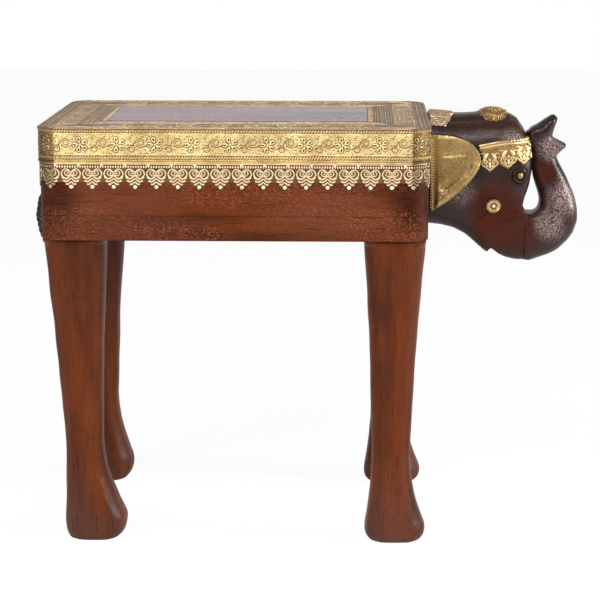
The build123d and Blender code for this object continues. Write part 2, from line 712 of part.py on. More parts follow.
def make_stool():
    """Every piece of the stool, by name, in its place round the middle of the seat."""
    body = body_outline()
    parts = make_seat()
    parts.update(make_course("upper_board", SEAM_HEIGHT, BOARD_BOTTOM, chamfer_top=False))
    parts.update(make_course("lower_board", LEG_HEIGHT, SEAM_HEIGHT, chamfer_top=True))
    for sign in SIDES.values():
        parts["upper_board_head"] -= head_dowel(sign, DOWEL_CLEARANCE)
    parts["upper_board_tail"] -= tail_dowel(DOWEL_CLEARANCE)
    parts.update(make_blocks())
    parts["leaf_band"] = make_leaf_band()
    parts.update(make_legs())
    parts.update(make_head(body))
    parts["tail"] = make_tail(body)
    parts["tail_dowel"] = tail_dowel()
    return parts


os.makedirs("parts", exist_ok=True)
stool = make_stool()
overall = Compound([solid for part in stool.values() for solid in part.solids()]).bounding_box()
to_origin = Pos(-overall.center().X, 0, 0)
for name, part in stool.items():
    export_step(to_origin * Compound(part.solids()), f"parts/{name}.step")
print(f"overall {overall.size.X:.1f} x {overall.size.Y:.1f} x {overall.size.Z:.1f} mm")
print(f"origin {overall.center().X:.2f} mm ahead of the middle of the seat")
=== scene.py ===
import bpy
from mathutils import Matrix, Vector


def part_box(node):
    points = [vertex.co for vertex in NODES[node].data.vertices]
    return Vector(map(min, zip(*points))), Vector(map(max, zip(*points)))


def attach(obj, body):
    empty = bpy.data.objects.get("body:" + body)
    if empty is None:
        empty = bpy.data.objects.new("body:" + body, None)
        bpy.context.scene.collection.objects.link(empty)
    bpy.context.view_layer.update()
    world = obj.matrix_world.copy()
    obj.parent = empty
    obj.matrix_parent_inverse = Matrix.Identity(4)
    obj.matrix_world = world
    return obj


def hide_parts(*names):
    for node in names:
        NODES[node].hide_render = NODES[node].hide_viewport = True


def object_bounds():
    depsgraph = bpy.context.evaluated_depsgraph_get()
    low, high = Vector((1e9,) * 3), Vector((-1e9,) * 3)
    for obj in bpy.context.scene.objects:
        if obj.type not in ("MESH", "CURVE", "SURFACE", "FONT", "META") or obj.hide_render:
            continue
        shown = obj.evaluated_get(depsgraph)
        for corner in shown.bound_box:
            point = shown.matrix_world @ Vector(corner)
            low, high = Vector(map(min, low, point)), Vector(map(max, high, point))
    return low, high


bl_info = {
    "name": "Carved Elephant Stool",
    "version": (1, 0, 0),
    "blender": (4, 5, 0),
    "location": "3D View > Sidebar > Elephant Stool",
    "description": "Dresses the frame of a brass-clad stool carved as an elephant",
    "category": "Object",
}

from math import cos, pi, radians, sin

import bpy
import numpy as np
from bpy.props import FloatProperty, FloatVectorProperty, PointerProperty
from mathutils import Vector, noise
from mathutils.bvhtree import BVHTree
from mathutils.kdtree import KDTree

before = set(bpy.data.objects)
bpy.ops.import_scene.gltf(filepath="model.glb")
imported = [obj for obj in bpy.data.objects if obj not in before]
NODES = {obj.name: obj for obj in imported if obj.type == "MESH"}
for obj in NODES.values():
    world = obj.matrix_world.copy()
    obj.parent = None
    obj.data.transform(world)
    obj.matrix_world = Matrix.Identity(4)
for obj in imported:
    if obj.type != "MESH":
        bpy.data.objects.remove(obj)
CAD_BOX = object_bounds()

# Lengths are in metres; ornaments are drawn flat in millimetres and then turned into metres.
MM = 0.001

# Places read from the frame. The seat's crest is the top of its brass, and its head end is where the
# "reach" of everything on the head is counted from; "drop" is counted down from the crest.
BAND_LOW, BAND_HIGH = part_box("flower_band")
LEAF_LOW, LEAF_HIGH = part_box("leaf_band")
PANEL_LOW, PANEL_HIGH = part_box("seat_panel")
SIDE_LOW, SIDE_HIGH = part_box("upper_board_near")
RAIL_LOW, RAIL_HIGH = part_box("lower_board_near")
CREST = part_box("top_border_near")[1].z
HEAD_END = BAND_HIGH.x
SEAT_MIDDLE = (BAND_LOW.x + BAND_HIGH.x) / 2
SEAT_HALF_LENGTH = (BAND_HIGH.x - BAND_LOW.x) / 2
SEAT_HALF_WIDTH = (BAND_HIGH.y - BAND_LOW.y) / 2
SEAT_RADIUS = 25.0 * MM
SHEET_RELIEF = 1.6 * MM
LEAF_RELIEF = 1.4 * MM
SHEET_GROUND = 0.45 * MM
STRIP_STEPS = 560           # faces of a strip of sheet along its length
STRIP_STEP = 0.55           # and up its height, in millimetres


def outline(inset):
    """Half length, half width and corner radius of the seat's outline, drawn in by an inset."""
    return (SEAT_HALF_LENGTH - inset, SEAT_HALF_WIDTH - inset, SEAT_RADIUS - inset)


def perimeter(shape):
    """Length round an outline."""
    half_length, half_width, radius = shape
    return 4 * (half_length + half_width - 2 * radius) + 2 * pi * radius


def head_point(reach, drop, across=0.0):
    """A place on the head from millimetres of reach and drop."""
    return Vector((HEAD_END + reach * MM, across * MM, CREST - drop * MM))


# ------------------------------------------------------------------ settings

def colour(name, description, default):
    """A setting that is a colour."""
    return FloatVectorProperty(
        name=name, description=description, default=default, subtype="COLOR", min=0, max=1)


def quantity(name, description, default, unit):
    """A setting that is a length or a power."""
    return FloatProperty(name=name, description=description, default=default, unit=unit)


class StoolBrassSettings(bpy.types.PropertyGroup):
    flower_pitch: quantity(
        "Flower pitch", "Distance between two flowers of the band", 0.0399, "LENGTH")
    leaf_pitch: quantity(
        "Leaf pitch", "Distance between two hanging leaves", 0.0228, "LENGTH")
    rope_pitch: quantity(
        "Rope pitch", "Distance between two strands of a rope edge", 0.0030, "LENGTH")
    bright: colour(
        "Bright brass", "Colour of the raised ornament", (0.88, 0.70, 0.38))
    ground: colour(
        "Brass ground", "Colour of the sheet between the ornaments", (0.84, 0.65, 0.31))
    leaf: colour(
        "Leaf brass", "Colour of the hanging leaves", (0.97, 0.78, 0.56))
    ears: colour(
        "Ear brass", "Colour of the sheets on the ears", (0.405, 0.285, 0.118))
    border: colour(
        "Border brass", "Colour of the raised lines on top of the seat", (0.51, 0.385, 0.265))
    field: colour(
        "Border ground", "Colour of the sheets under the lines on top of the seat", (0.235, 0.175, 0.12))
    # The recessed brass is darker also as painted shade between close ornaments.
    recess: colour(
        "Recessed brass", "Colour of the dull sheet between close ornaments", (0.30, 0.18, 0.07))
    # The tarnish colour is also the painted shade at the seat's corners and, in darker shares, of the
    # band's painted shadow lines and slots and behind the hanging leaves.
    tarnish: colour(
        "Tarnish", "Colour of the brass where it has darkened", (0.17, 0.10, 0.035))


class StoolWoodSettings(bpy.types.PropertyGroup):
    body_light: colour(
        "Body, light grain", "Lighter colour of the boards and legs", (0.122, 0.0232, 0.0017))
    body_dark: colour(
        "Body, dark grain", "Darker colour of the boards and legs", (0.022, 0.0045, 0.001))
    head_light: colour(
        "Head, thin stain", "Colour of the head where the dark stain is thin", (0.030, 0.0095, 0.006))
    head_dark: colour(
        "Head, stained", "Colour of the dark stain on the head and trunk", (0.009, 0.004, 0.0035))
    head_rubbed: colour(
        "Head, rubbed to red", "Colour of the cheek and jaw where the red wood shows",
        (0.062, 0.011, 0.0035))
    # The panel's colour is dark polished wood with a lilac tint that is a painted reflection of the room.
    panel: colour(
        "Panel", "Colour of the polished panel in the seat", (0.110, 0.050, 0.065))


class StoolStageSettings(bpy.types.PropertyGroup):
    backdrop: colour(
        "Backdrop", "Colour of the floor and of the room behind", (1.0, 1.0, 1.0))
    key_power: quantity(
        "Key lamp", "Power of the large lamp at the front left", 38.0, "POWER")
    fill_power: quantity(
        "Fill lamp", "Power of the lamp at the right", 55.0, "POWER")
    front_power: quantity(
        "Front lamp", "Power of the wide lamp behind the camera", 5.0, "POWER")
    top_power: quantity(
        "Top lamp", "Power of the long lamp above the front", 36.0, "POWER")


def brass_settings():
    return bpy.context.scene.stool_brass


def wood_settings():
    return bpy.context.scene.stool_wood


def stage_settings():
    return bpy.context.scene.stool_stage


# ------------------------------------------------------------------ modelling helpers

def only(piece):
    """Makes a piece the one that is selected and active."""
    bpy.ops.object.select_all(action="DESELECT")
    piece.select_set(True)
    bpy.context.view_layer.objects.active = piece
    return piece


def new_piece():
    """The object that the last operator added."""
    return bpy.context.view_layer.objects.active


def points_of(piece):
    """The vertices of a piece as an array."""
    co = np.empty(len(piece.data.vertices) * 3)
    piece.data.vertices.foreach_get("co", co)
    return co.reshape(-1, 3)


def set_points(piece, co):
    """Puts the vertices of a piece where an array says."""
    piece.data.vertices.foreach_set("co", np.ascontiguousarray(co, dtype=float).ravel())
    piece.data.update()
    return piece


def normals_of(piece):
    """The vertex normals of a piece as an array."""
    normals = np.empty(len(piece.data.vertices) * 3)
    piece.data.vertex_normals.foreach_get("vector", normals)
    return normals.reshape(-1, 3)


def apply_place(piece):
    """Puts the piece's place, turn and scale into its mesh."""
    only(piece)
    bpy.ops.object.transform_apply(location=True, rotation=True, scale=True)
    return piece


def modified(piece, kind, **values):
    """Adds a modifier with these values and applies it."""
    only(piece)
    bpy.ops.object.modifier_add(type=kind)
    modifier = piece.modifiers[-1]
    for name, value in values.items():
        setattr(modifier, name, value)
    bpy.ops.object.modifier_apply(modifier=modifier.name)
    return piece


def joined(pieces):
    """One piece made of several."""
    only(pieces[0])
    for piece in pieces[1:]:
        piece.select_set(True)
    bpy.ops.object.join()
    return new_piece()


def merged(piece, distance=0.00001):
    """Merges the loose triangles of a piece and turns its faces outwards."""
    only(piece)
    bpy.ops.object.mode_set(mode="EDIT")
    bpy.ops.mesh.select_all(action="SELECT")
    bpy.ops.mesh.remove_doubles(threshold=distance)
    bpy.ops.mesh.normals_make_consistent(inside=False)
    bpy.ops.object.mode_set(mode="OBJECT")
    return piece


def copy_of(node):
    """A merged copy of a CAD node's mesh, to be carved."""
    source = NODES[node]
    piece = source.copy()
    piece.data = source.data.copy()
    for key in list(piece.keys()):
        del piece[key]
    piece.hide_render = False
    piece.hide_viewport = False
    bpy.context.scene.collection.objects.link(piece)
    only(piece)
    if piece.data.has_custom_normals:
        bpy.ops.mesh.customdata_custom_splitnormals_clear()
    return merged(piece)


def repeated(piece, count, pitch):
    """A row of copies of a piece along X."""
    return modified(
        piece, "ARRAY", count=count, use_relative_offset=False, use_constant_offset=True,
        constant_offset_displace=(pitch, 0, 0))


def carving_of(node, voxel):
    """A copy of a CAD node in even small faces, to be carved; the voxel is in millimetres."""
    return modified(copy_of(node), "REMESH", mode="VOXEL", voxel_size=voxel * MM, use_smooth_shade=True)


def softened(piece, rounds):
    """Rubs the edges of a carving down."""
    return modified(piece, "SMOOTH", factor=0.5, iterations=rounds)


def smooth(piece, angle=40):
    """Shades a piece smooth up to an angle."""
    only(piece)
    bpy.ops.object.shade_smooth_by_angle(angle=radians(angle))
    return piece


def finished(piece, name, material, slot, *replaced):
    """Names a piece and gives it its material and its place on the frame; the slot is not used."""
    piece.name = name
    piece.data.name = name
    piece.data.materials.clear()
    piece.data.materials.append(material)
    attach(piece, "root")
    if replaced:
        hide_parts(*replaced)
    return piece


def raised_lines(lines, thickness, closed=False, sides=1):
    """Round wires through flat points (along, up, share of the thickness), half sunk in the sheet."""
    bpy.ops.curve.primitive_nurbs_path_add()
    piece = new_piece()
    curve = piece.data
    curve.splines.clear()
    for line in lines:
        spline = curve.splines.new("POLY")
        spline.points.add(len(line) - 1)
        for point, place in zip(spline.points, line):
            point.co = (place[0] * MM, place[1] * MM, 0, 1)
            point.radius = place[2] if len(place) > 2 else 1.0
        spline.use_cyclic_u = closed
    curve.dimensions = "3D"
    curve.bevel_depth = thickness * MM / 2
    curve.bevel_resolution = sides
    curve.use_fill_caps = not closed
    bpy.ops.object.convert(target="MESH")
    return new_piece()


def stud(along, up, radius, height, segments=10, rings=6):
    """A dome on the sheet, in millimetres."""
    bpy.ops.mesh.primitive_uv_sphere_add(
        segments=segments, ring_count=rings, radius=1, location=(along * MM, up * MM, 0),
        scale=(radius * MM, radius * MM, height * MM))
    return apply_place(new_piece())


def plate(corners, thickness):
    """A flat plate from its outline in millimetres, with its back on the sheet."""
    bpy.ops.mesh.primitive_circle_add(vertices=len(corners), radius=1, fill_type="NGON")
    piece = new_piece()
    co = points_of(piece)
    for index, (along, up) in enumerate(corners):
        co[index] = (along * MM, up * MM, 0)
    set_points(piece, co)
    only(piece)
    bpy.ops.object.mode_set(mode="EDIT")
    bpy.ops.mesh.select_all(action="SELECT")
    bpy.ops.mesh.extrude_region_move(TRANSFORM_OT_translate={"value": (0, 0, thickness * MM)})
    bpy.ops.mesh.select_all(action="SELECT")
    bpy.ops.mesh.normals_make_consistent(inside=False)
    bpy.ops.object.mode_set(mode="OBJECT")
    return piece


def mirrored(lines):
    """The lines together with their mirror images."""
    return lines + [[(-place[0], *place[1:]) for place in line] for line in lines]


def moved(lines, along, up):
    """Lines moved over the sheet."""
    return [[(place[0] + along, place[1] + up, *place[2:]) for place in line] for line in lines]


def spiral(middle, start_radius, end_radius, start, turn, count=12):
    """A volute round a middle; angles in degrees, thinner towards its eye."""
    line = []
    for step in range(count):
        share = step / (count - 1)
        radius = start_radius + (end_radius - start_radius) * share
        angle = radians(start + turn * share)
        line.append((
            middle[0] + radius * cos(angle), middle[1] + radius * sin(angle), 1.1 - 0.3 * share))
    return line


def curved(places, count=10):
    """A smooth line through given places."""
    line = []
    for step in range(count):
        at = step / (count - 1) * (len(places) - 1)
        k = min(int(at), len(places) - 2)
        t = at - k
        before = np.array(places[max(k - 1, 0)], float)
        first = np.array(places[k], float)
        second = np.array(places[k + 1], float)
        after = np.array(places[min(k + 2, len(places) - 1)], float)
        point = 0.5 * (
            2 * first + (second - before) * t + (2 * before - 5 * first + 4 * second - after) * t ** 2
            + (3 * first - before - 3 * second + after) * t ** 3)
        line.append(tuple(point))
    return line


def petal(root, tip, width, heading, count=12):
    """A closed teardrop that points away from the origin."""
    line = []
    turn = radians(heading)
    for step in range(count):
        angle = 2 * pi * step / count
        out = (root + tip) / 2 + (tip - root) / 2 * cos(angle)
        side = width / 2 * sin(angle) * (0.62 + 0.38 * cos(angle))
        line.append((out * cos(turn) - side * sin(turn), out * sin(turn) + side * cos(turn)))
    return line


def eased(share):
    """A share from 0 to 1 that starts and ends gently."""
    return share * share * (3 - 2 * share)


def fade(value, low, high):
    """How far a value has come from low to high, from 0 to 1."""
    return np.clip((value - low) / (high - low), 0, 1)


def blended(first, second, share):
    """Points that go from the first to the second by a share of their own."""
    return first * (1 - share[:, None]) + second * share[:, None]


def side_distance(co, chosen):
    """Distance of each point, seen from the side, from the nearest of the chosen ones."""
    tree = KDTree(len(chosen))
    for index in chosen:
        tree.insert(Vector((co[index, 0], 0, co[index, 2])), int(index))
    tree.balance()
    return np.array([tree.find(Vector((x, 0, z)))[2] for x, _, z in co])


def side_middle(node):
    """Middle of a node's box, seen from the side."""
    low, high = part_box(node)
    return ((low.x + high.x) / 2, (low.z + high.z) / 2)


def on_head(co):
    """Reach and drop of points on the head, in millimetres."""
    return (co[:, 0] - HEAD_END) / MM, (CREST - co[:, 2]) / MM


def wrapped(piece, shape, base):
    """Bends a flat strip round an outline: X runs along it, Y up from a base and Z outwards."""
    half_length, half_width, radius = shape
    straight = (2 * (half_length - radius), 2 * (half_width - radius))
    arc = pi * radius / 2
    flat = points_of(piece)
    round_trip = (flat[:, 0] + straight[0] / 2) % perimeter(shape)
    placed = np.zeros_like(flat)
    placed[:, 2] = base + flat[:, 1]
    corner = np.array((SEAT_MIDDLE - straight[0] / 2, -straight[1] / 2))
    heading = 0.0
    start = 0.0
    for side in range(4):
        ahead = np.array((cos(heading), sin(heading)))
        for length, bends in ((straight[side % 2], False), (arc, True)):
            here = (round_trip >= start) & (round_trip <= start + length)
            along = round_trip[here] - start
            facing = heading - pi / 2 + (along / radius if bends else np.zeros_like(along))
            reach = radius + flat[here, 2]
            placed[here, 0] = corner[0] + reach * np.cos(facing)
            placed[here, 1] = corner[1] + reach * np.sin(facing)
            if not bends:
                placed[here, 0] += along * ahead[0]
                placed[here, 1] += along * ahead[1]
                corner = corner + length * ahead
            start += length
        heading += pi / 2
    return set_points(piece, placed)


def row_round(piece, count, first, out, shape, base):
    """A row of copies of an ornament, bent round an outline."""
    row = shifted(repeated(piece, count, perimeter(shape) / count), first, 0, out)
    return smooth(wrapped(row, shape, base))


def shifted(piece, along=0.0, up=0.0, out=0.0):
    """Moves a flat piece over the sheet, in metres."""
    return set_points(piece, points_of(piece) + np.array((along, up, out)))


def sheet_strip(shape, base, low, high, relief, thickness):
    """A strip of sheet right round an outline; its relief is a function of height, in millimetres."""
    length = perimeter(shape)
    rows = max(2, round((high - low) / STRIP_STEP))
    bpy.ops.mesh.primitive_grid_add(x_subdivisions=STRIP_STEPS, y_subdivisions=rows, size=1)
    piece = new_piece()
    co = points_of(piece)
    up = low + (co[:, 1] + 0.5) * (high - low)
    co[:, 0] *= length
    co[:, 0] += length / 2
    co[:, 1] = up * MM
    co[:, 2] = [relief(height) * MM for height in up]
    piece = merged(wrapped(set_points(piece, co), shape, base))
    return modified(piece, "SOLIDIFY", thickness=thickness * MM, offset=-1.0)


def uneven(piece, size, depth, seed=0.0):
    """Works a piece a little out of true, as a hand-made one is."""
    co = points_of(piece)
    normals = normals_of(piece)
    for index in range(len(co)):
        place = Vector(co[index]) / size + Vector((seed, seed, seed))
        co[index] += normals[index] * noise.noise(place) * depth
    return set_points(piece, co)


def laid_on(piece, targets, axis, sign, middle=(0.0, 0.0)):
    """Lays a flat ornament on pieces, looked at along an axis; its Z becomes the height above them."""
    vertices = []
    faces = []
    for target in targets:
        first = len(vertices)
        vertices += [v.co.copy() for v in target.data.vertices]
        faces += [tuple(first + v for v in p.vertices) for p in target.data.polygons]
    tree = BVHTree.FromPolygons(vertices, faces)
    co = points_of(piece)
    far = 0.5
    for index, (along, up, out) in enumerate(co.copy()):
        if axis == "Y":
            origin = Vector((middle[0] + along, sign * far, middle[1] + up))
            ray = Vector((0, -sign, 0))
        else:
            origin = Vector((middle[0] + along, middle[1] + up, far + CREST))
            ray = Vector((0, 0, -1))
        place, normal, _, _ = tree.ray_cast(origin, ray)
        if place is None:
            place, normal, _, _ = tree.find_nearest(origin + ray * (far - 0.03))
        if normal.dot(ray) > 0:
            normal = -normal
        co[index] = place + normal * out
    set_points(piece, co)
    return merged(piece)


# ------------------------------------------------------------------ materials

def feed(tree, value, socket):
    """Links a socket to another one, or sets it to a plain value."""
    if isinstance(value, bpy.types.NodeSocket):
        tree.links.new(value, socket)
    else:
        socket.default_value = value


def shaded(colour, share, lift=0.0):
    """A darker or paler colour."""
    return tuple(channel * share + lift for channel in colour)


def group_tree(name, inputs, outputs):
    """An empty shader node group. It takes a vector and the named inputs, which are vectors where they
    have no number, and puts out numbers."""
    tree = bpy.data.node_groups.new(name, "ShaderNodeTree")
    for label, value in {"Vector": None, **inputs}.items():
        kind = "NodeSocketVector" if value is None else "NodeSocketFloat"
        socket = tree.interface.new_socket(label, in_out="INPUT", socket_type=kind)
        if value is not None:
            socket.default_value = value
    for label in outputs:
        tree.interface.new_socket(label, in_out="OUTPUT", socket_type="NodeSocketFloat")
    given = tree.nodes.new("NodeGroupInput")
    made = tree.nodes.new("NodeGroupOutput")
    return tree, given.outputs, made.inputs


def noise_node(tree, vector, scale, detail=4.0, roughness=0.55):
    """A noise texture fed with a vector; scale is a number or a socket."""
    node = tree.nodes.new("ShaderNodeTexNoise")
    node.inputs["Detail"].default_value = detail
    node.inputs["Roughness"].default_value = roughness
    tree.links.new(vector, node.inputs["Vector"])
    feed(tree, scale, node.inputs["Scale"])
    return node.outputs["Fac"]


def mapped(tree, vector, scale=(1, 1, 1), turn=(0, 0, 0)):
    """A vector turned, by degrees, and stretched."""
    node = tree.nodes.new("ShaderNodeMapping")
    node.inputs["Scale"].default_value = scale
    node.inputs["Rotation"].default_value = tuple(radians(angle) for angle in turn)
    tree.links.new(vector, node.inputs["Vector"])
    return node.outputs["Vector"]


def parts_of(tree, vector):
    """The node that splits a vector into X, Y and Z."""
    node = tree.nodes.new("ShaderNodeSeparateXYZ")
    tree.links.new(vector, node.inputs[0])
    return node.outputs


def math_node(tree, operation, first, second=0.0, clamp=False):
    """A math node; operands are numbers or sockets."""
    node = tree.nodes.new("ShaderNodeMath")
    node.operation = operation
    node.use_clamp = clamp
    for socket, value in zip(node.inputs, (first, second)):
        feed(tree, value, socket)
    return node.outputs[0]


def times(tree, first, *others):
    """The product of numbers and sockets."""
    for value in others:
        first = math_node(tree, "MULTIPLY", first, value)
    return first


def plus(tree, first, second):
    """The sum of two numbers or sockets."""
    return math_node(tree, "ADD", first, second)


def rest_of(tree, share):
    """What a share leaves of 1."""
    return math_node(tree, "SUBTRACT", 1.0, share)


def ramp_node(tree, value, low, high):
    """A value stretched from low..high to 0..1; the ends are numbers or sockets."""
    node = tree.nodes.new("ShaderNodeMapRange")
    node.interpolation_type = "SMOOTHSTEP"
    feed(tree, low, node.inputs["From Min"])
    feed(tree, high, node.inputs["From Max"])
    tree.links.new(value, node.inputs["Value"])
    return node.outputs["Result"]


def mix_colour(tree, share, first, second):
    """Two colours mixed by a share; each is a colour or a socket."""
    node = tree.nodes.new("ShaderNodeMix")
    node.data_type = "RGBA"
    feed(tree, share, node.inputs["Factor"])
    for label, value in (("A", first), ("B", second)):
        socket = [s for s in node.inputs if s.name == label and s.type == "RGBA"][0]
        feed(tree, value if isinstance(value, bpy.types.NodeSocket) else (*value, 1), socket)
    return [s for s in node.outputs if s.type == "RGBA"][0]


def grain_group():
    """Long wood grain with its pores and a broader figure; the vector runs along the grain in X."""
    found = bpy.data.node_groups.get("Wood grain")
    if found:
        return found
    tree, given, made = group_tree("Wood grain", {"Scale": 60.0}, ("Grain", "Pores", "Figure"))
    vector, scale = given["Vector"], given["Scale"]
    drawn = mapped(tree, vector, (0.07, 1, 1))
    fine = noise_node(tree, drawn, scale, 8.0, 0.7)
    pores = noise_node(tree, drawn, times(tree, scale, 9.0), 2.0)
    figure = noise_node(tree, mapped(tree, vector, (0.14, 1, 1)), times(tree, scale, 0.5), 3.0)
    tree.links.new(ramp_node(tree, fine, 0.30, 0.72), made["Grain"])
    tree.links.new(ramp_node(tree, pores, 0.56, 0.70), made["Pores"])
    tree.links.new(ramp_node(tree, figure, 0.34, 0.66), made["Figure"])
    return tree


def speckle_group():
    """Fine specks and soft blotches, for worn varnish, stippled sheet and tarnish."""
    found = bpy.data.node_groups.get("Specks and blotches")
    if found:
        return found
    tree, given, made = group_tree(
        "Specks and blotches", {"Speck scale": 900.0, "Blotch scale": 30.0},
        ("Specks", "Blotches", "Chips"))
    vector, speck_scale, blotch_scale = given["Vector"], given["Speck scale"], given["Blotch scale"]
    specks = noise_node(tree, vector, speck_scale, 2.0)
    blotches = noise_node(tree, vector, blotch_scale, 5.0, 0.6)
    patches = noise_node(tree, vector, times(tree, blotch_scale, 1.7), 3.0)
    fine = noise_node(tree, vector, times(tree, speck_scale, 0.8), 3.0)
    chips = times(tree, ramp_node(tree, fine, 0.48, 0.66), ramp_node(tree, patches, 0.32, 0.62))
    tree.links.new(ramp_node(tree, specks, 0.35, 0.68), made["Specks"])
    tree.links.new(ramp_node(tree, blotches, 0.36, 0.66), made["Blotches"])
    tree.links.new(chips, made["Chips"])
    return tree


def near_group():
    """How near a place is to a middle: 1 inside the inner distance, 0 outside the outer one."""
    found = bpy.data.node_groups.get("Near a place")
    if found:
        return found
    tree, given, made = group_tree(
        "Near a place", {"Middle": None, "Inner": 0.02, "Outer": 0.04}, ("Nearness",))
    distance = tree.nodes.new("ShaderNodeVectorMath")
    distance.operation = "DISTANCE"
    tree.links.new(given["Vector"], distance.inputs[0])
    tree.links.new(given["Middle"], distance.inputs[1])
    away = ramp_node(tree, distance.outputs["Value"], given["Inner"], given["Outer"])
    tree.links.new(rest_of(tree, away), made["Nearness"])
    return tree


def corner_shade_group():
    """A mask of the seat's four rounded corners, where the brass is darkened as painted shade."""
    found = bpy.data.node_groups.get("Seat corners")
    if found:
        return found
    tree, given, made = group_tree("Seat corners", {}, ("Corners",))
    parts = parts_of(tree, given["Vector"])
    along = math_node(tree, "ABSOLUTE", math_node(tree, "SUBTRACT", parts["X"], SEAT_MIDDLE))
    across = math_node(tree, "ABSOLUTE", parts["Y"])
    end = ramp_node(tree, along, SEAT_HALF_LENGTH - 22.5 * MM, SEAT_HALF_LENGTH - 19 * MM)
    side = ramp_node(tree, across, SEAT_HALF_WIDTH - 27 * MM, SEAT_HALF_WIDTH - 22 * MM)
    tree.links.new(times(tree, end, side), made["Corners"])
    return tree


def placed_group(tree, group, vector, **values):
    """The outputs of a node group in a material, fed with a vector and its own values."""
    node = tree.nodes.new("ShaderNodeGroup")
    node.node_tree = group
    tree.links.new(vector, node.inputs["Vector"])
    for label, value in values.items():
        node.inputs[label.replace("_", " ")].default_value = value
    return node.outputs


def new_material(name):
    """A material with its Principled BSDF and object coordinates."""
    material = bpy.data.materials.new(name)
    material.use_nodes = True
    tree = material.node_tree
    shader = tree.nodes["Principled BSDF"]
    coordinates = tree.nodes.new("ShaderNodeTexCoord")
    return material, tree, shader, coordinates.outputs["Object"]


def bump(tree, shader, height, distance, strength=1.0, coat=False):
    """Feeds a height through a Bump node to the shader's normal, and to its coat's."""
    node = tree.nodes.new("ShaderNodeBump")
    node.inputs["Distance"].default_value = distance
    node.inputs["Strength"].default_value = strength
    tree.links.new(height, node.inputs["Height"])
    tree.links.new(node.outputs["Normal"], shader.inputs["Normal"])
    if coat:
        tree.links.new(node.outputs["Normal"], shader.inputs["Coat Normal"])


DUST_AND_SHEEN = (0.35, 0.25, 0.235)  # colour of the pale dust in the carving, which is also a painted sheen on the head's highlights


def wood(name, light, dark, turn=(0, 0, 0), scale=60.0, roughness=(0.34, 0.52), coat=0.0, contrast=1.0,
         specular=0.05, chips=0.40, rubbed=None, darker_feet=0.0, dust_and_sheen=None):
    """Stained and varnished wood; the turn brings the grain to X. Rubbed places, that is places of wear,
    of painted sheen and of painted shade, are given as (middle, inner and outer distance, colour), and
    places of pale dust with painted sheen the same without a colour."""
    found = bpy.data.materials.get(name)
    if found:
        return found
    material, tree, shader, vector = new_material(name)
    along_grain = mapped(tree, vector, turn=turn)
    grain = placed_group(tree, grain_group(), along_grain, Scale=scale)
    drawn = mapped(tree, along_grain, (0.6 if dust_and_sheen else 0.36, 1, 1))
    fineness = 820.0 if dust_and_sheen else 1150.0
    specks = placed_group(tree, speckle_group(), drawn, Speck_scale=fineness, Blotch_scale=17.0)
    tone = times(tree, grain["Grain"], 0.32 * contrast)
    tone = plus(tree, tone, times(tree, grain["Figure"], 0.48))
    tone = math_node(tree, "ADD", tone, times(tree, specks["Blotches"], 0.25), True)
    stained = mix_colour(tree, tone, dark, light)
    coated = coat
    # rubbed places: wear, painted sheen and painted shade, each mixed in with its own colour
    for middle, inner, outer, colour in rubbed or ():
        near = placed_group(tree, near_group(), vector, Middle=middle, Inner=inner, Outer=outer)
        share = times(tree, near["Nearness"], plus(tree, times(tree, tone, 0.6), 0.4))
        stained = mix_colour(tree, share, stained, colour)
        coated = times(tree, coated, rest_of(tree, share))
    # darker and greyer towards the feet
    if darker_feet:
        low = rest_of(tree, ramp_node(tree, parts_of(tree, vector)["Z"], 0.005, 0.11))
        uneven_low = plus(tree, times(tree, specks["Blotches"], 0.7), 0.3)
        darker_share = times(tree, low, uneven_low, darker_feet)
        stained = mix_colour(tree, darker_share, stained, shaded(light, 0.45, 0.025))
    pored = mix_colour(tree, times(tree, grain["Pores"], 0.45), stained, shaded(dark, 0.35))
    worn = times(tree, specks["Chips"], chips)
    worn = mix_colour(tree, worn, pored, shaded(light, 1.6, 0.038))
    # pale dust with painted sheen, where the highlights of the trunk and the neck fall
    for middle, inner, outer in dust_and_sheen or ():
        near = placed_group(tree, near_group(), vector, Middle=middle, Inner=inner, Outer=outer)
        share = times(tree, near["Nearness"], specks["Specks"], 0.80)
        worn = mix_colour(tree, share, worn, DUST_AND_SHEEN)
    # the colour holds the pale chips of wear and the dust with its painted sheen
    tree.links.new(worn, shader.inputs["Base Color"])
    rough = plus(tree, times(tree, specks["Specks"], roughness[1] - roughness[0]), roughness[0])
    tree.links.new(rough, shader.inputs["Roughness"])
    shader.inputs["Specular IOR Level"].default_value = specular
    feed(tree, coated, shader.inputs["Coat Weight"])
    tree.links.new(times(tree, rough, 0.5), shader.inputs["Coat Roughness"])
    height = plus(
        tree, times(tree, grain["Grain"], 0.5), times(tree, specks["Specks"], 0.35))
    height = math_node(tree, "SUBTRACT", height, times(tree, grain["Pores"], 0.4))
    bump(tree, shader, height, 0.00022, coat=True)
    return material


def leg_wood():
    """The legs' wood, with its grain upright, darker and greyer towards the feet."""
    colours = wood_settings()
    return wood(
        "Mahogany_Z", colours.body_light, colours.body_dark, (0, 90, 0), coat=0.14, contrast=1.25,
        chips=0.10, darker_feet=0.6)


def board_wood():
    """The boards' wood, worn and lightened as a painted sheen in two places of the near side, and
    darkened as painted shade at the corners.
    """
    colours = wood_settings()
    tail_end = SEAT_MIDDLE - SEAT_HALF_LENGTH
    # worn places of the near side, lightened also as a painted sheen
    worn = shaded(colours.body_light, 0.9, 0.012)
    shadow = shaded(colours.body_dark, 0.7)
    rubbed = [
        ((tail_end + 0.07, -0.14, 0.395), 0.02, 0.13, worn),
        ((tail_end + 0.32, -0.14, 0.345), 0.01, 0.12, worn),
    ]
    # painted shade round the seat's four corners
    for x in (tail_end, tail_end + 2 * SEAT_HALF_LENGTH):
        for y in (-SEAT_HALF_WIDTH, SEAT_HALF_WIDTH):
            rubbed.append(((x, y, 0.385), 0.026, 0.060, shadow))
    return wood(
        "Mahogany_X", colours.body_light, colours.body_dark, coat=0.12, contrast=1.4, chips=0.7,
        rubbed=rubbed)
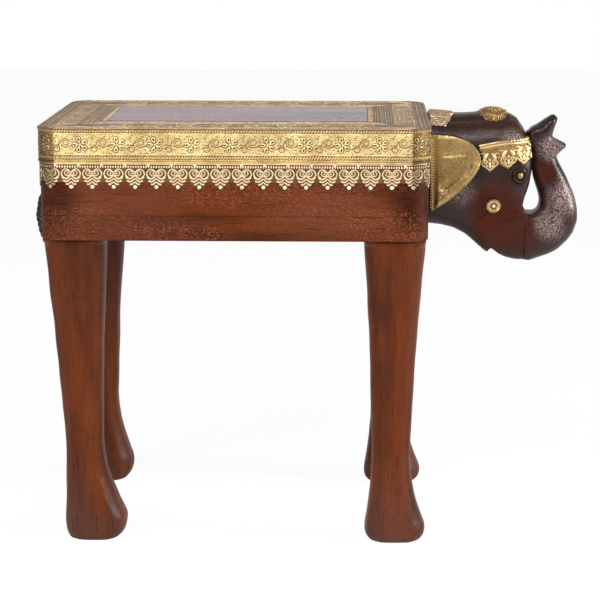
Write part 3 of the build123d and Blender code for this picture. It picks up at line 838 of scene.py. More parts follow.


# Kinds of sheet brass. The stipple is a strength, its depth is in millimetres, tarnish is a share of
# darkening, corners is a share of painted shade at the seat's four corners, and the shades are shares of
# the two colours.
BRASSES = {
    "raised": dict(setting="bright", roughness=0.40, stipple=0.15, depth=0.12, tarnish=0.20, corners=0.6),
    "ground": dict(setting="ground", roughness=0.40, stipple=0.7, depth=0.4, tarnish=0.30, corners=0.8,
                   fineness=700.0),
    "ears": dict(setting="ears", roughness=0.34, stipple=0.9, depth=0.3, tarnish=0.40, fineness=520.0),
    "border": dict(setting="border", roughness=0.44, stipple=1.0, depth=0.5, tarnish=0.12,
                   fineness=420.0),
    "field": dict(setting="field", roughness=0.46, stipple=1.2, depth=0.6, tarnish=0.15,
                  fineness=420.0),
    "recess": dict(setting="recess", roughness=0.46, stipple=1.1, depth=0.4, tarnish=0.40, corners=0.3,
                   fineness=330.0),
    # painted shade of the deep slots in the petals
    "hollow": dict(setting="tarnish", roughness=0.75, stipple=0.3, depth=0.2, tarnish=0.3, shade=0.4,
                   dull_shade=0.4),
    "leaf": dict(setting="leaf", roughness=0.44, stipple=0.12, depth=0.12, tarnish=0.14, corners=0.62),
    # dark brass: tarnish, and painted shade in the band's shadow lines and behind the leaves
    "patina": dict(setting="tarnish", roughness=0.50, stipple=0.6, depth=0.3, tarnish=0.5, corners=0.4,
                   dull_shade=0.55),
}


def brass(kind):
    """Sheet brass of one kind, made the first time that it is asked for."""
    name = f"Brass_{kind}"
    return bpy.data.materials.get(name) or sheet_brass(name, **BRASSES[kind])


def sheet_brass(name, setting, roughness, stipple, depth, tarnish, corners=0.0, shade=1.0, dull_shade=1.0,
                fineness=1100.0):
    """Brass with tarnished blotches and a stippled face, and painted shade at the seat's corners."""
    settings = brass_settings()
    clean = shaded(getattr(settings, setting), shade)
    # the tarnish colour, mixed in for tarnish, for stipple and for the painted shade at the corners
    dull = shaded(settings.tarnish, dull_shade)
    material, tree, shader, vector = new_material(name)
    specks = placed_group(tree, speckle_group(), vector, Speck_scale=fineness, Blotch_scale=45.0)
    darker_share = times(tree, specks["Blotches"], tarnish)
    darker_share = math_node(tree, "ADD", darker_share, times(tree, specks["Specks"], stipple * 0.5), True)
    # painted shade: the brass at the seat's corners is mixed towards the tarnish colour
    if corners:
        mask = placed_group(tree, corner_shade_group(), vector)
        darker_share = math_node(tree, "ADD", darker_share, times(tree, mask["Corners"], corners), True)
    tree.links.new(mix_colour(tree, darker_share, clean, dull), shader.inputs["Base Color"])
    shader.inputs["Metallic"].default_value = 1.0
    rough = times(tree, specks["Blotches"], 0.16)
    tree.links.new(plus(tree, rough, roughness), shader.inputs["Roughness"])
    bump(tree, shader, specks["Specks"], depth * MM, stipple)
    return material


# ------------------------------------------------------------------ ornaments, drawn flat

def lens(along, up, length, width, height, heading, segments=10, rings=5):
    """A long dome on the sheet, turned to a heading, in millimetres and degrees."""
    bpy.ops.mesh.primitive_uv_sphere_add(
        segments=segments, ring_count=rings, radius=1, location=(along * MM, up * MM, 0),
        rotation=(0, 0, radians(heading)), scale=(length / 2 * MM, width / 2 * MM, height * MM))
    return apply_place(new_piece())


PETAL_HEADINGS = (107, 30, -38, -107, 182)


def petal_dome(root, tip, width, height, heading):
    """A domed teardrop that points away from the origin, broad at its outer end."""
    piece = lens(0, 0, 2000, 2000, height, 0, 12, 6)
    co = points_of(piece)
    out = (root + tip) / 2 + (tip - root) / 2 * co[:, 0]
    side = width / 2 * co[:, 1] * (0.62 + 0.38 * co[:, 0])
    turn = radians(heading)
    co[:, 0] = (out * cos(turn) - side * sin(turn)) * MM
    co[:, 1] = (out * sin(turn) + side * cos(turn)) * MM
    return set_points(piece, co)


def flower(up):
    """The raised parts of a flower: five broad petals round a boss."""
    parts = [stud(0, 0, 1.3, 0.7)]
    for heading in PETAL_HEADINGS:
        parts.append(petal_dome(0.9, 8.2, 6.6, 0.5, heading))
        between = radians(heading + 36)
        parts.append(lens(6.6 * cos(between), 6.6 * sin(between), 2.6, 1.0, 0.5, heading + 36, 6, 4))
    return shifted(joined(parts), 0, up * MM)


def flower_shadows(up):
    """The dark line round the petals of a flower, a painted shadow."""
    outlines = [petal(0.8, 8.9, 7.6, heading, 14) for heading in PETAL_HEADINGS]
    return raised_lines(moved(outlines, 0, up), 0.75, closed=True)


def flower_slots(up):
    """The deep slot in each petal of a flower: a low dome painted dark as the slot's shade."""
    slots = [petal_dome(3.5, 7.5, 3.0, 0.95, heading) for heading in PETAL_HEADINGS]
    return shifted(joined(slots), 0, up * MM)


SCROLL_VOLUTES = (((24.0, 2.4), 4.6, -60, -600, 20), ((14.6, -4.6), 3.4, 120, -470, 16))
SCROLL_STEMS = (
    ((26.3, -1.6), (29.2, -0.6), (31.6, 1.6)),
    ((12.9, -1.7), (10.6, -2.4), (8.6, -4.2)),
    ((15.8, 0.2), (17.4, 4.2), (15.0, 7.8), (10.4, 8.4)),
    ((18.8, -3.6), (22.6, -4.8), (26.6, -8.0), (31.4, -8.6)),
)
SCROLL_LEAVES = (
    (12.8, 4.6, 120), (10.4, 0.8, 40), (14.0, 10.4, 10), (19.4, 8.8, 150), (25.6, 9.6, 15),
    (19.2, 0.0, 100), (28.4, -4.2, 150), (23.0, -8.2, 140), (33.4, -5.4, 60), (9.6, -9.6, 20),
    (17.6, -10.4, 5), (30.6, 6.6, 60), (33.6, 9.8, 30), (27.4, -10.6, 175), (12.2, 6.4, 20),
)


def scroll(up):
    """The raised scroll that fills the room between two flowers: two volutes with their leaves."""
    stems = [spiral(middle, radius, 0.9, *turning) for middle, radius, *turning in SCROLL_VOLUTES]
    stems += [curved(stem, 8) for stem in SCROLL_STEMS]
    parts = [raised_lines(moved(stems, 0, up), 1.15)]
    for middle, *_ in SCROLL_VOLUTES:
        parts.append(stud(middle[0], up + middle[1], 0.9, 0.7, 8, 4))
    for along, height, heading in SCROLL_LEAVES:
        parts.append(lens(along, up + height, 2.9, 1.5, 0.65, heading, 8, 4))
    return joined(parts)


def scroll_shadows(up):
    """The dark lines between the turns of a scroll and beside its stems, painted shadows."""
    lines = [spiral(middle, radius + 1.0, 1.7, *turning) for middle, radius, *turning in SCROLL_VOLUTES]
    lines += [[(x + 0.8, y - 0.8) for x, y in curved(stem, 7)] for stem in SCROLL_STEMS]
    parts = [raised_lines(moved(lines, 0, up), 0.75)]
    for along, height, heading in SCROLL_LEAVES:
        parts.append(lens(along + 0.5, up + height - 0.7, 2.9, 1.3, 0.45, heading, 6, 4))
    return joined(parts)


def rope_bead(up, length=4.3, width=1.55, height=1.0, lean=44):
    """One slanted strand of a rope edge."""
    bpy.ops.mesh.primitive_uv_sphere_add(
        segments=8, ring_count=5, radius=1, scale=(width / 2 * MM, length / 2 * MM, height * MM),
        rotation=(0, 0, -radians(lean)), location=(0, up * MM, 0))
    return apply_place(new_piece())


LEAF_TOP = -6.0
LEAF_EDGE = (
    (0.0, 3.2), (2.0, 0.8), (5.0, -0.7), (8.6, 0.4), (10.8, 4.4), (10.5, 7.4), (9.9, 9.6), (8.4, 10.9),
    (8.8, 12.6), (7.9, 14.2), (6.1, 14.9), (6.2, 16.6), (4.3, 18.0), (2.9, 19.4), (1.6, 21.2),
)
LEAF_RIM = ((0.0, -4.4), (2.1, -1.9), (5.0, -0.3), (8.2, -1.5), (10.1, -5.0), (9.2, -8.4))
LEAF_CURL = (
    (0.4, -4.9), (1.9, -6.9), (4.4, -7.5), (6.5, -5.6), (6.0, -3.0), (4.0, -2.3), (2.5, -3.7),
    (3.1, -5.4), (4.4, -5.1),
)
LEAF_RIBS = (
    ((0.0, -6.9), (2.1, -8.8), (4.2, -10.4), (6.3, -10.6), (8.4, -9.5)),
    ((0.0, -10.3), (2.0, -12.0), (4.0, -13.5), (5.9, -13.7), (7.8, -13.0)),
    ((0.0, -13.8), (1.5, -15.2), (2.9, -16.4), (4.1, -16.7), (5.4, -16.3)),
)


def leaf():
    """The raised lines of a hanging leaf: two volutes in a rim over pointed ribs, and a bead."""
    parts = [
        raised_lines(mirrored(moved([curved(LEAF_RIM, 14)], 0, LEAF_TOP)), 1.45),
        raised_lines(mirrored(moved([curved(LEAF_CURL, 20)], 0, LEAF_TOP)), 1.15),
    ]
    ribs = []
    for rib in LEAF_RIBS:
        places = curved(rib, 8)
        ribs.append([(x, y, 0.8 + 0.4 * k / (len(places) - 1)) for k, (x, y) in enumerate(places)])
    parts.append(raised_lines(mirrored(moved(ribs, 0, LEAF_TOP)), 1.8))
    for sign in (-1, 1):
        parts.append(stud(sign * 8.5, LEAF_TOP - 9.3, 1.5, 1.0, 8, 4))
        parts.append(stud(sign * 7.6, LEAF_TOP - 13.0, 1.1, 0.95, 8, 4))
    parts.append(stud(0, LEAF_TOP - 19.5, 2.05, 0.8, 12, 6))
    return joined(parts)


def leaf_ground():
    """The sheet that a hanging leaf is raised from, dark as painted shade between its raised lines."""
    half = [(x, LEAF_TOP - drop) for x, drop in LEAF_EDGE]
    return plate([*half, *((-x, y) for x, y in reversed(half[1:]))], 0.3)


# ------------------------------------------------------------------ the seat's brass

FLOWER_START = -161.3 * MM  # first flower, from the middle of the near side
ROPE_GROUNDS = ((1.5, 2.2), (3.3, 8.1), (31.6, 36.0))
# Mouldings of the band: height of the middle, half width and rise
BAND_MOULDINGS = ((0.75, 0.85, 1.15), (2.7, 0.6, 0.75), (8.7, 0.55, 0.5), (30.9, 0.55, 0.5))


class STOOL_OT_flower_band(bpy.types.Operator):
    """Embossed band of flowers and scrolls round the edge of the seat"""
    bl_idname = "stool.flower_band"
    bl_label = "Flower band"

    def execute(self, context):
        settings = brass_settings()
        shape = outline(SHEET_RELIEF)
        around = perimeter(shape)
        height = (CREST - BAND_LOW.z) / MM

        def relief(up):
            for middle, half, rise in BAND_MOULDINGS:
                away = abs(up - middle)
                if away < half:
                    return 0.45 + rise * cos(away / half * pi / 2)
            if up < 8.1 or up > 31.6:
                return 0.12
            return 0.45

        ground = sheet_strip(shape, BAND_LOW.z, 0.0, height - 0.15, relief, 0.4)
        uneven(ground, 0.012, 0.00018)
        co = points_of(ground)
        co[:, 1] = np.clip(co[:, 1], CAD_BOX[0].y, CAD_BOX[1].y)
        set_points(ground, co)
        finished(smooth(ground, 60), "flower_band_sheet", brass("ground"), "seat_brass", "flower_band")
        # dark strips under the ropes: painted shade between the strands
        strips = [
            sheet_strip(shape, BAND_LOW.z, low, high, lambda up: 0.3, 0.2) for low, high in ROPE_GROUNDS]
        finished(smooth(joined(strips), 60), "rope_grounds", brass("recess"), "seat_brass")

        count = round(around / settings.flower_pitch)
        middle = 19.6

        def placed(piece, name, metal):
            row = row_round(piece, count, FLOWER_START, SHEET_GROUND, shape, BAND_LOW.z)
            return finished(row, name, brass(metal), "seat_brass")

        placed(flower(middle), "band_flowers", "raised")
        placed(scroll(middle), "band_scrolls", "raised")
        # painted shadows round the petals and the scrolls
        placed(joined([flower_shadows(middle), scroll_shadows(middle)]), "band_patina", "patina")
        # the slots' painted shade
        placed(flower_slots(middle), "flower_slots", "hollow")

        strands = round(around / settings.rope_pitch)
        ropes = []
        for up in (5.7, 33.9):
            row = repeated(rope_bead(up), strands, around / strands)
            ropes.append(shifted(row, 0, 0, 0.3 * MM))
        ropes = wrapped(joined(ropes), shape, BAND_LOW.z)
        finished(smooth(ropes), "band_ropes", brass("raised"), "seat_brass")
        return {"FINISHED"}


LEAF_START = 9.4 * MM       # first leaf, from the middle of the near side
LEAF_SHEET_DEPTH = 20.5     # dark sheet behind the leaves, from the top of the strip, painted shade between the leaves
PIN_PITCH = 24.9 * MM


class STOOL_OT_leaf_band(bpy.types.Operator):
    """Strip of hanging leaves under the flower band, with its beads and pins"""
    bl_idname = "stool.leaf_band"
    bl_label = "Leaf band"

    def execute(self, context):
        settings = brass_settings()
        shape = outline(SEAT_HALF_LENGTH - (LEAF_HIGH.x - LEAF_LOW.x) / 2 + LEAF_RELIEF)
        around = perimeter(shape)
        top = LEAF_HIGH.z

        def relief(up):
            away = abs(up + 5.9)
            if up < -8.0:
                return 0.12
            return 0.3 + (0.55 * cos(away / 0.6 * pi / 2) if away < 0.6 else 0.0)

        # dark header sheet: painted shade behind and between the leaves
        header = sheet_strip(shape, top, -LEAF_SHEET_DEPTH, -0.1, relief, 0.12)
        finished(smooth(header, 60), "leaf_band_header", brass("patina"), "seat_brass", "leaf_band")

        def placed(piece, pitch, first, out, name, metal):
            row = row_round(piece, round(around / pitch), first, out * MM, shape, top)
            return finished(row, name, brass(metal), "seat_brass")

        placed(leaf(), settings.leaf_pitch, LEAF_START, 0.35, "hanging_leaves", "leaf")
        placed(leaf_ground(), settings.leaf_pitch, LEAF_START, 0.05, "leaf_grounds", "patina")

        fillet = sheet_strip(
            shape, top, -1.5, -0.05, lambda up: 0.45 + 0.8 * cos((up + 0.75) / 0.8 * pi / 2), 0.25)
        finished(smooth(fillet, 60), "leaf_band_fillet", brass("leaf"), "seat_brass")

        bead = lens(0, -4.0, 2.7, 1.8, 0.95, 90, 8, 5)
        placed(bead, 2.7 * MM, 0, 0.3, "leaf_band_beads", "leaf")
        pitch = around / round(around / settings.leaf_pitch)
        placed(stud(0, -1.9, 1.6, 1.1, 12, 6), PIN_PITCH, 0.4 * pitch, 0.3, "leaf_band_pins", "leaf")
        return {"FINISHED"}


# Ornament of the seat's top: distances from the panel outwards, and from the outer edge inwards
BORDER_LINES = (9.0, 12.0, 18.0, 23.5, 26.5)
BORDER_EDGE_LINES = (18.0, 15.0, 6.0)
ARCH_PITCH = 7.1
ARCH_FOOT = 1.0
HATCH_PITCH = 5.2
HATCH_START = 28.5
HATCH_END = 17.0            # from the outer edge
TOP_FLOWER_PITCH = 36.0
TOP_FLOWER_MIDDLE = 43.0
ROPE_ROW = 15.5
STUD_ROW = 20.5
EDGE_ROW = 10.5             # from the outer edge
ROW_PITCH = 3.0


class STOOL_OT_seat_top(bpy.types.Operator):
    """Four embossed border sheets and the polished panel between them"""
    bl_idname = "stool.seat_top"
    bl_label = "Seat top"

    def execute(self, context):
        panel_half = ((PANEL_HIGH.x - PANEL_LOW.x) / 2, (PANEL_HIGH.y - PANEL_LOW.y) / 2)
        seat_half = (SEAT_HALF_LENGTH, SEAT_HALF_WIDTH)
        face = CREST - 0.6 * MM
        ornaments = []
        for side, turn in (("near", 0), ("head", 90), ("far", 180), ("tail", 270)):
            at_end = side in ("head", "tail")
            across, along = (1, 0) if at_end else (0, 1)
            sheet = copy_of(f"top_border_{side}")
            co = points_of(sheet)
            top = co[:, 2] > CREST - 0.1 * MM
            co[top, 2] = face
            set_points(sheet, co)
            finished(sheet, f"border_sheet_{side}", brass("field"), "seat_brass", f"top_border_{side}")
            inner = panel_half[across]
            outer = seat_half[across]
            width = seat_half[along] - panel_half[along]
            piece = self.border(inner / MM, outer / MM, width / MM, at_end)
            apply_turn(piece, turn, panel_half[along], face)
            ornaments.append(piece)
        finished(smooth(joined(ornaments)), "border_ornament", brass("border"), "seat_brass")

        bpy.ops.mesh.primitive_cube_add(size=1, location=(PANEL_LOW + PANEL_HIGH) / 2,
                                        scale=tuple(PANEL_HIGH - PANEL_LOW))
        panel = apply_place(new_piece())
        panel = modified(panel, "BEVEL", width=0.5 * MM, segments=3)
        finished(smooth(panel, 12), "polished_panel", panel_wood(), "panel_wood", "seat_panel")
        return {"FINISHED"}

    def border(self, inner, outer, width, at_end):
        """Ornament of one side, flat: X along the side, Y out from the panel, in millimetres."""
        def reach(out):
            return inner + (outer - inner) * out / width

        lines = []
        for out in (*BORDER_LINES, *(width - edge for edge in BORDER_EDGE_LINES)):
            half = reach(out) - (17.0 if out > width - 8 else 0.5)
            lines.append([(-half, out), (half, out)])
        parts = [raised_lines(lines, 1.0), self.arches(int(inner / ARCH_PITCH))]
        if at_end:
            parts.append(self.hatching(reach, HATCH_START, width - HATCH_END))
        else:
            parts += self.flowers(reach)
        for out, shorter in ((ROPE_ROW, 0.0), (STUD_ROW, 0.0), (width - EDGE_ROW, 6.0)):
            half = reach(out) - 2 - shorter
            row = rope_bead(0, 2.6, 1.4, 0.7) if out != STUD_ROW else stud(0, 0, 0.9, 0.6, 8, 4)
            count = int(2 * half / ROW_PITCH)
            row = repeated(row, count, ROW_PITCH * MM)
            parts.append(shifted(row, -(count - 1) / 2 * ROW_PITCH * MM, out * MM))
        return joined(parts)

    def arches(self, half_count):
        """A row of small arches, each with a line in its middle."""
        lines = []
        for step in range(-half_count, half_count):
            middle = (step + 0.5) * ARCH_PITCH
            lines.append([
                (middle + 3.3 * cos(pi * k / 8), ARCH_FOOT + 5.4 * sin(pi * k / 8)) for k in range(9)])
            lines.append([(middle, ARCH_FOOT), (middle, 4.4)])
        return raised_lines(lines, 1.0)

    def hatching(self, reach, low, high):
        """Crossed slanting lines between two distances from the panel."""
        slope = high - low
        lines = []
        for step in range(-40, 40):
            for lean in (-1, 1):
                start = step * HATCH_PITCH
                if abs(start) < reach(low) - 1 and abs(start + lean * slope) < reach(high) - 1:
                    lines.append([(start, low), (start + lean * slope, high)])
        return raised_lines(lines, 1.2)

    def flowers(self, reach):
        """The flowers and scrolls that fit on a long side."""
        fitting = []
        for step in range(-4, 5):
            place = step * TOP_FLOWER_PITCH
            for ornament in (flower(0), scroll(0)):
                end = points_of(ornament)[:, 0].max() / MM + place
                if abs(end) < reach(28) and abs(place) < reach(28) - 8:
                    fitting.append(shifted(ornament, place * MM, TOP_FLOWER_MIDDLE * MM))
                else:
                    bpy.data.objects.remove(ornament)
        return fitting


def apply_turn(piece, degrees, start, face):
    """Turns a flat ornament onto one side of the seat's top."""
    co = points_of(piece)
    along = co[:, 0].copy()
    out = -(co[:, 1] + start)
    turn = radians(degrees)
    co[:, 0] = SEAT_MIDDLE + along * cos(turn) - out * sin(turn)
    co[:, 1] = along * sin(turn) + out * cos(turn)
    co[:, 2] += face
    return set_points(piece, co)


def panel_wood():
    # dark polished wood, tinted lilac as a painted reflection of the room
    stain = wood_settings().panel
    return wood(
        "Polished_panel", shaded(stain, 1.9), shaded(stain, 0.4), scale=34.0, roughness=(0.14, 0.26),
        contrast=0.9, specular=0.2, chips=0.0)


# ------------------------------------------------------------------ body and legs

def rounded_ring(low, high, shape, wall):
    """A closed course of boards with rounded outer corners."""
    half_length, half_width, radius = shape
    size = (2 * half_length, 2 * half_width, high - low)
    bpy.ops.mesh.primitive_cube_add(size=1, location=(SEAT_MIDDLE, 0, (low + high) / 2), scale=size)
    ring = apply_place(new_piece())
    only(ring)
    bpy.ops.object.mode_set(mode="EDIT")
    bpy.ops.mesh.select_mode(type="EDGE")
    bpy.ops.mesh.select_all(action="DESELECT")
    bpy.ops.object.mode_set(mode="OBJECT")
    for edge in ring.data.edges:
        first, second = (ring.data.vertices[v].co for v in edge.vertices)
        edge.select = abs(first.z - second.z) > (high - low) / 2
    bpy.ops.object.mode_set(mode="EDIT")
    bpy.ops.mesh.bevel(offset=radius, segments=14, affect="EDGES")
    bpy.ops.object.mode_set(mode="OBJECT")
    inner = (2 * (half_length - wall), 2 * (half_width - wall), 2 * (high - low))
    bpy.ops.mesh.primitive_cube_add(size=1, location=(SEAT_MIDDLE, 0, (low + high) / 2), scale=inner)
    cutter = apply_place(new_piece())
    modified(ring, "BOOLEAN", object=cutter, operation="DIFFERENCE")
    bpy.data.objects.remove(cutter)
    return ring


class STOOL_OT_boards(bpy.types.Operator):
    """The two courses of boards under the seat"""
    bl_idname = "stool.boards"
    bl_label = "Boards"

    def execute(self, context):
        inset = BAND_HIGH.y + SIDE_LOW.y
        wall = SIDE_HIGH.y - SIDE_LOW.y
        courses = (
            ("upper_course", SIDE_LOW.z, SIDE_HIGH.z, "upper_board"),
            ("lower_course", RAIL_LOW.z, RAIL_HIGH.z, "lower_board"),
        )
        for name, low, high, node in courses:
            ring = rounded_ring(low, high, outline(inset), wall)
            ring = modified(ring, "BEVEL", width=0.9 * MM, segments=3, limit_method="ANGLE")
            nodes = [f"{node}_{side}" for side in ("near", "far", "head", "tail")]
            finished(smooth(ring, 12), name, board_wood(), "mahogany", *nodes)
        return {"FINISHED"}


class STOOL_OT_legs(bpy.types.Operator):
    """The four carved legs"""
    bl_idname = "stool.legs"
    bl_label = "Legs"

    def execute(self, context):
        for seed, node in enumerate(("front_leg_near", "front_leg_far", "hind_leg_near", "hind_leg_far")):
            leg = carving_of(node, 2.0)
            before = points_of(leg)
            top = before[:, 2].max()
            leg = softened(leg, 18)
            self.round_section(leg)
            uneven(leg, 0.035, 0.0010, seed * 7.3)
            co = points_of(leg)
            co = blended(co, before, fade(before[:, 2], top - 8 * MM, top - 2 * MM))
            low = before[:, 2] < 3 * MM
            co[low, 2] = before[low, 2]
            co[:, 2] = np.clip(co[:, 2], 0.0, top)
            set_points(leg, co)
            finished(leg, f"{node}_carved", leg_wood(), "mahogany", node)
        return {"FINISHED"}

    def round_section(self, leg):
        """Bellies the leg's faces, so that each section is a squarish oval as wide as before."""
        co = points_of(leg)
        edges = np.arange(co[:, 2].min(), co[:, 2].max() + 6 * MM, 6 * MM)
        middles, halves = [], []
        for low, high in zip(edges, edges[1:]):
            layer = co[(co[:, 2] >= low) & (co[:, 2] <= high)]
            middles.append((layer[:, :2].max(axis=0) + layer[:, :2].min(axis=0)) / 2)
            halves.append((layer[:, :2].max(axis=0) - layer[:, :2].min(axis=0)) / 2)
        heights = (edges[1:] + edges[:-1]) / 2
        middle = np.column_stack([np.interp(co[:, 2], heights, np.array(middles)[:, k]) for k in (0, 1)])
        half = np.column_stack([np.interp(co[:, 2], heights, np.array(halves)[:, k]) for k in (0, 1)])
        place = (co[:, :2] - middle) / half
        heading = np.abs(place) / np.maximum(np.linalg.norm(place, axis=1), 1e-6)[:, None]
        square = (heading ** 7).sum(axis=1) ** (-1 / 7)
        oval = (heading ** 2.8).sum(axis=1) ** (-1 / 2.8)
        co[:, :2] = middle + place * (oval / square)[:, None] * half
        set_points(leg, co)


# ------------------------------------------------------------------ head, trunk, ears and tail

def head_wood():
    colours = wood_settings()
    rubbed = (
        (head_point(86, 126, -36), 0.022, 0.050, colours.head_rubbed),
        (head_point(72, 100, -36), 0.018, 0.040, colours.head_rubbed),
        (head_point(128, 62, -20), 0.006, 0.022, colours.head_rubbed),
        (head_point(86, 126, 36), 0.022, 0.050, colours.head_rubbed),
    )
    # pale dust with painted sheen, where highlights fall on the trunk and the neck
    dust_and_sheen = []
    for side in (-1, 1):
        dust_and_sheen += [
            (head_point(154, 92, 18 * side), 0.006, 0.028),
            (head_point(137, 122, 20 * side), 0.006, 0.024),
            (head_point(137, 36, 14 * side), 0.003, 0.020),
            (head_point(94, 26, 34 * side), 0.002, 0.020),
            (head_point(38, 86, 45 * side), 0.003, 0.024),
        ]
    return wood(
        "Stained_head_wood", colours.head_light, colours.head_dark, (0, 35, 0), scale=45.0,
        roughness=(0.26, 0.60), coat=0.42, specular=0.03, chips=0.2, rubbed=rubbed, dust_and_sheen=dust_and_sheen)


MOUTH_CUT = (
    (68.2, 157.6), (70.6, 150.6), (73.0, 149.6), (76.5, 152.5), (84.0, 160.6), (84.0, 175.0),
    (68.2, 175.0),
)


def rounded_section(piece, thickness, blunt):
    """Turns the flat-sided section of a carving into an oval one, but for its glued end."""
    co = points_of(piece)
    normals = normals_of(piece)
    low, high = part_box("trunk_dowel")
    bored = np.ones(len(co), dtype=bool)
    for axis in range(3):
        bored &= (co[:, axis] > low[axis] - 2.5 * MM) & (co[:, axis] < high[axis] + 2.5 * MM)
    rim = np.flatnonzero((np.abs(normals[:, 1]) < 0.35) & ~bored)
    away = np.minimum(side_distance(co, rim) / (thickness * MM), 1.0)
    full = (1 - (1 - away) ** 2.3) ** (1 / 2.3)
    share = eased(np.clip((co[:, 0] - co[:, 0].min()) / (16 * MM), 0, 1))
    co[:, 1] *= 1 - share * (1 - blunt - (1 - blunt) * full)
    return set_points(piece, co)


def held_end(piece, before, end, span):
    """Puts back the part of a rounded carving next to its glued face."""
    co = points_of(piece)
    kept = np.clip(1 - np.abs(before[:, 0] - end) / (span * MM), 0, 1)
    return set_points(piece, blended(co, before, kept))


class STOOL_OT_head(bpy.types.Operator):
    """The carved head with its mouth and eyes, and the trunk"""
    bl_idname = "stool.head"
    bl_label = "Head and trunk"

    def execute(self, context):
        self.carve_head()
        self.carve_trunk()
        return {"FINISHED"}

    def carve_head(self):
        """The head, left as it was where the trunk is glued on."""
        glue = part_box("trunk")[0].x
        head = carving_of("head_block", 1.5)
        before = points_of(head)
        head = softened(head, 16)
        set_points(head, points_of(head) + normals_of(head) * 0.35 * MM)
        uneven(head, 0.03, 0.0006, 2.0)
        below_chin = before[:, 2] < CREST - 112 * MM
        near_glue = np.clip(1 - np.abs(before[:, 0] - glue) / (5 * MM), 0, 1)
        set_points(head, blended(points_of(head), before, near_glue * below_chin))
        self.round_shoulders(head)
        self.open_gap(head)
        head = self.cut_mouth(head)
        self.carve_eyes(head)
        finished(smooth(head, 50), "carved_head", head_wood(), "head_wood", "head_block")

    def carve_trunk(self):
        """The trunk, rubbed round along its length and less so at its tip."""
        trunk = carving_of("trunk", 1.3)
        rounded_section(trunk, 15.0, 0.42)
        before = points_of(trunk)
        from_glue = (before[:, 0] - before[:, 0].min()) / MM
        trunk = softened(trunk, 9)
        lightly = points_of(trunk) + normals_of(trunk) * 0.30 * MM
        trunk = softened(trunk, 22)
        well = points_of(trunk) + normals_of(trunk) * 0.75 * MM
        trunk = softened(trunk, 90)
        rounder = points_of(trunk)[:, 1] * 1.10
        share = fade(from_glue, 8, 22)
        well[:, 1] = well[:, 1] * (1 - share) + rounder * share
        lightly[:, 1] = lightly[:, 1] * 0.4 + rounder * 0.6
        reach, drop = on_head(before)
        set_points(trunk, blended(well, lightly, fade(reach, 112, 122) * fade(drop, 62, 50)))
        self.lean_on_brow(trunk)
        uneven(trunk, 0.018, 0.0009, 3.1)
        held_end(trunk, before, before[:, 0].min(), 6.0)
        self.meet_cheek(trunk, from_glue)
        finished(trunk, "carved_trunk", head_wood(), "head_wood", "trunk")

    def meet_cheek(self, trunk, from_glue):
        """Brings the trunk back to its length and lets its glued end sink a little into the cheek."""
        low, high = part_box("trunk")
        co = points_of(trunk)
        co[:, 0] = low.x + (co[:, 0] - low.x) * (high.x - low.x) / (co[:, 0].max() - low.x)
        ring = from_glue < 1.8
        middle = (co[ring, 2].max() + co[ring, 2].min()) / 2
        below = fade(co[:, 2], middle - 6 * MM, middle - 14 * MM)
        co[:, 2] += 1.0 * MM * below * fade(from_glue, 14, 0)
        co[ring, 0] -= 2.2 * MM
        co[ring, 1] *= 1.02
        co[ring, 2] = middle + (co[ring, 2] - middle) * 0.99
        set_points(trunk, co)

    def round_shoulders(self, head):
        """Lets the sides of the head curve in towards its top."""
        co = points_of(head)
        normals = normals_of(head)
        top = np.flatnonzero((normals[:, 2] > 0.75) & (CREST - co[:, 2] < 60 * MM))
        away = np.minimum(side_distance(co, top) / (27 * MM), 1.0)
        co[:, 1] *= 0.74 + 0.26 * (1 - (1 - away) ** 2.2) ** (1 / 2.2)
        set_points(head, co)

    def open_gap(self, head):
        """Draws the front of the cheek back, so that the gap to the trunk widens downwards."""
        co = points_of(head)
        reach, drop = on_head(co)
        depth = np.interp(drop, (60, 76, 90, 100, 106, 109), (0, 2.0, 5.4, 6.2, 3.6, 0))
        share = fade(reach, 84, 104)
        co[:, 0] -= depth * eased(share) * MM
        set_points(head, co)

    def cut_mouth(self, head):
        """Cuts the open mouth through from side to side."""
        cutter = plate([(reach, -drop) for reach, drop in MOUTH_CUT], 120)
        co = points_of(cutter)
        place = np.column_stack((co[:, 0] + HEAD_END, 60 * MM - co[:, 2], co[:, 1] + CREST))
        merged(set_points(cutter, place))
        modified(head, "BOOLEAN", object=cutter, operation="DIFFERENCE")
        bpy.data.objects.remove(cutter)
        return head

    def carve_eyes(self, head):
        """Two grooves round each eye, with the lid swelling between them."""
        middle = side_middle("eye_studs")
        co = points_of(head)
        normals = normals_of(head)
        away = np.hypot(co[:, 0] - middle[0], co[:, 2] - middle[1]) / MM
        outside = np.abs(co[:, 1]) > 15 * MM
        for radius, half, depth in ((4.9, 1.3, -1.3), (8.6, 1.5, -1.2), (6.8, 1.6, 0.7)):
            share = np.clip(1 - np.abs(away - radius) / half, 0, 1)
            co += normals * (eased(share) * depth * MM * outside)[:, None]
        set_points(head, co)

    def lean_on_brow(self, trunk):
        """Lets the upper part of the trunk touch the brow."""
        co = points_of(trunk)
        reach, drop = on_head(co)
        co[:, 0] -= 2.4 * MM * fade(drop, 62, 54) * fade(drop, 12, 20) * fade(reach, 128, 120)
        set_points(trunk, co)


EAR_BACK = 4.8 * MM
# Fold, crease and dent of an ear's sheet: places from its upper rear corner, rise and half width
EAR_LINES = (
    (((47.5, 35.0), (40.0, 46.0), (22.0, 60.0), (3.5, 77.0)), 2.3, 4.2),
    (((37.9, 35.4), (24.0, 47.5), (11.0, 58.6)), -3.2, 2.4),
    (((13.0, 22.5), (24.0, 21.5), (33.0, 20.5)), -1.5, 2.6),
)
EAR_ROWS = 60               # rows in which the front edge of an ear is looked up


def away_from(points, line):
    """Distance of points from a broken line, all in millimetres."""
    nearest = np.full(len(points), 1e9)
    for start, end in zip(line, line[1:]):
        start = np.array(start)
        step = np.array(end) - start
        share = np.clip((points - start) @ step / (step @ step), 0, 1)
        nearest = np.minimum(nearest, np.linalg.norm(points - start - share[:, None] * step, axis=1))
    return nearest


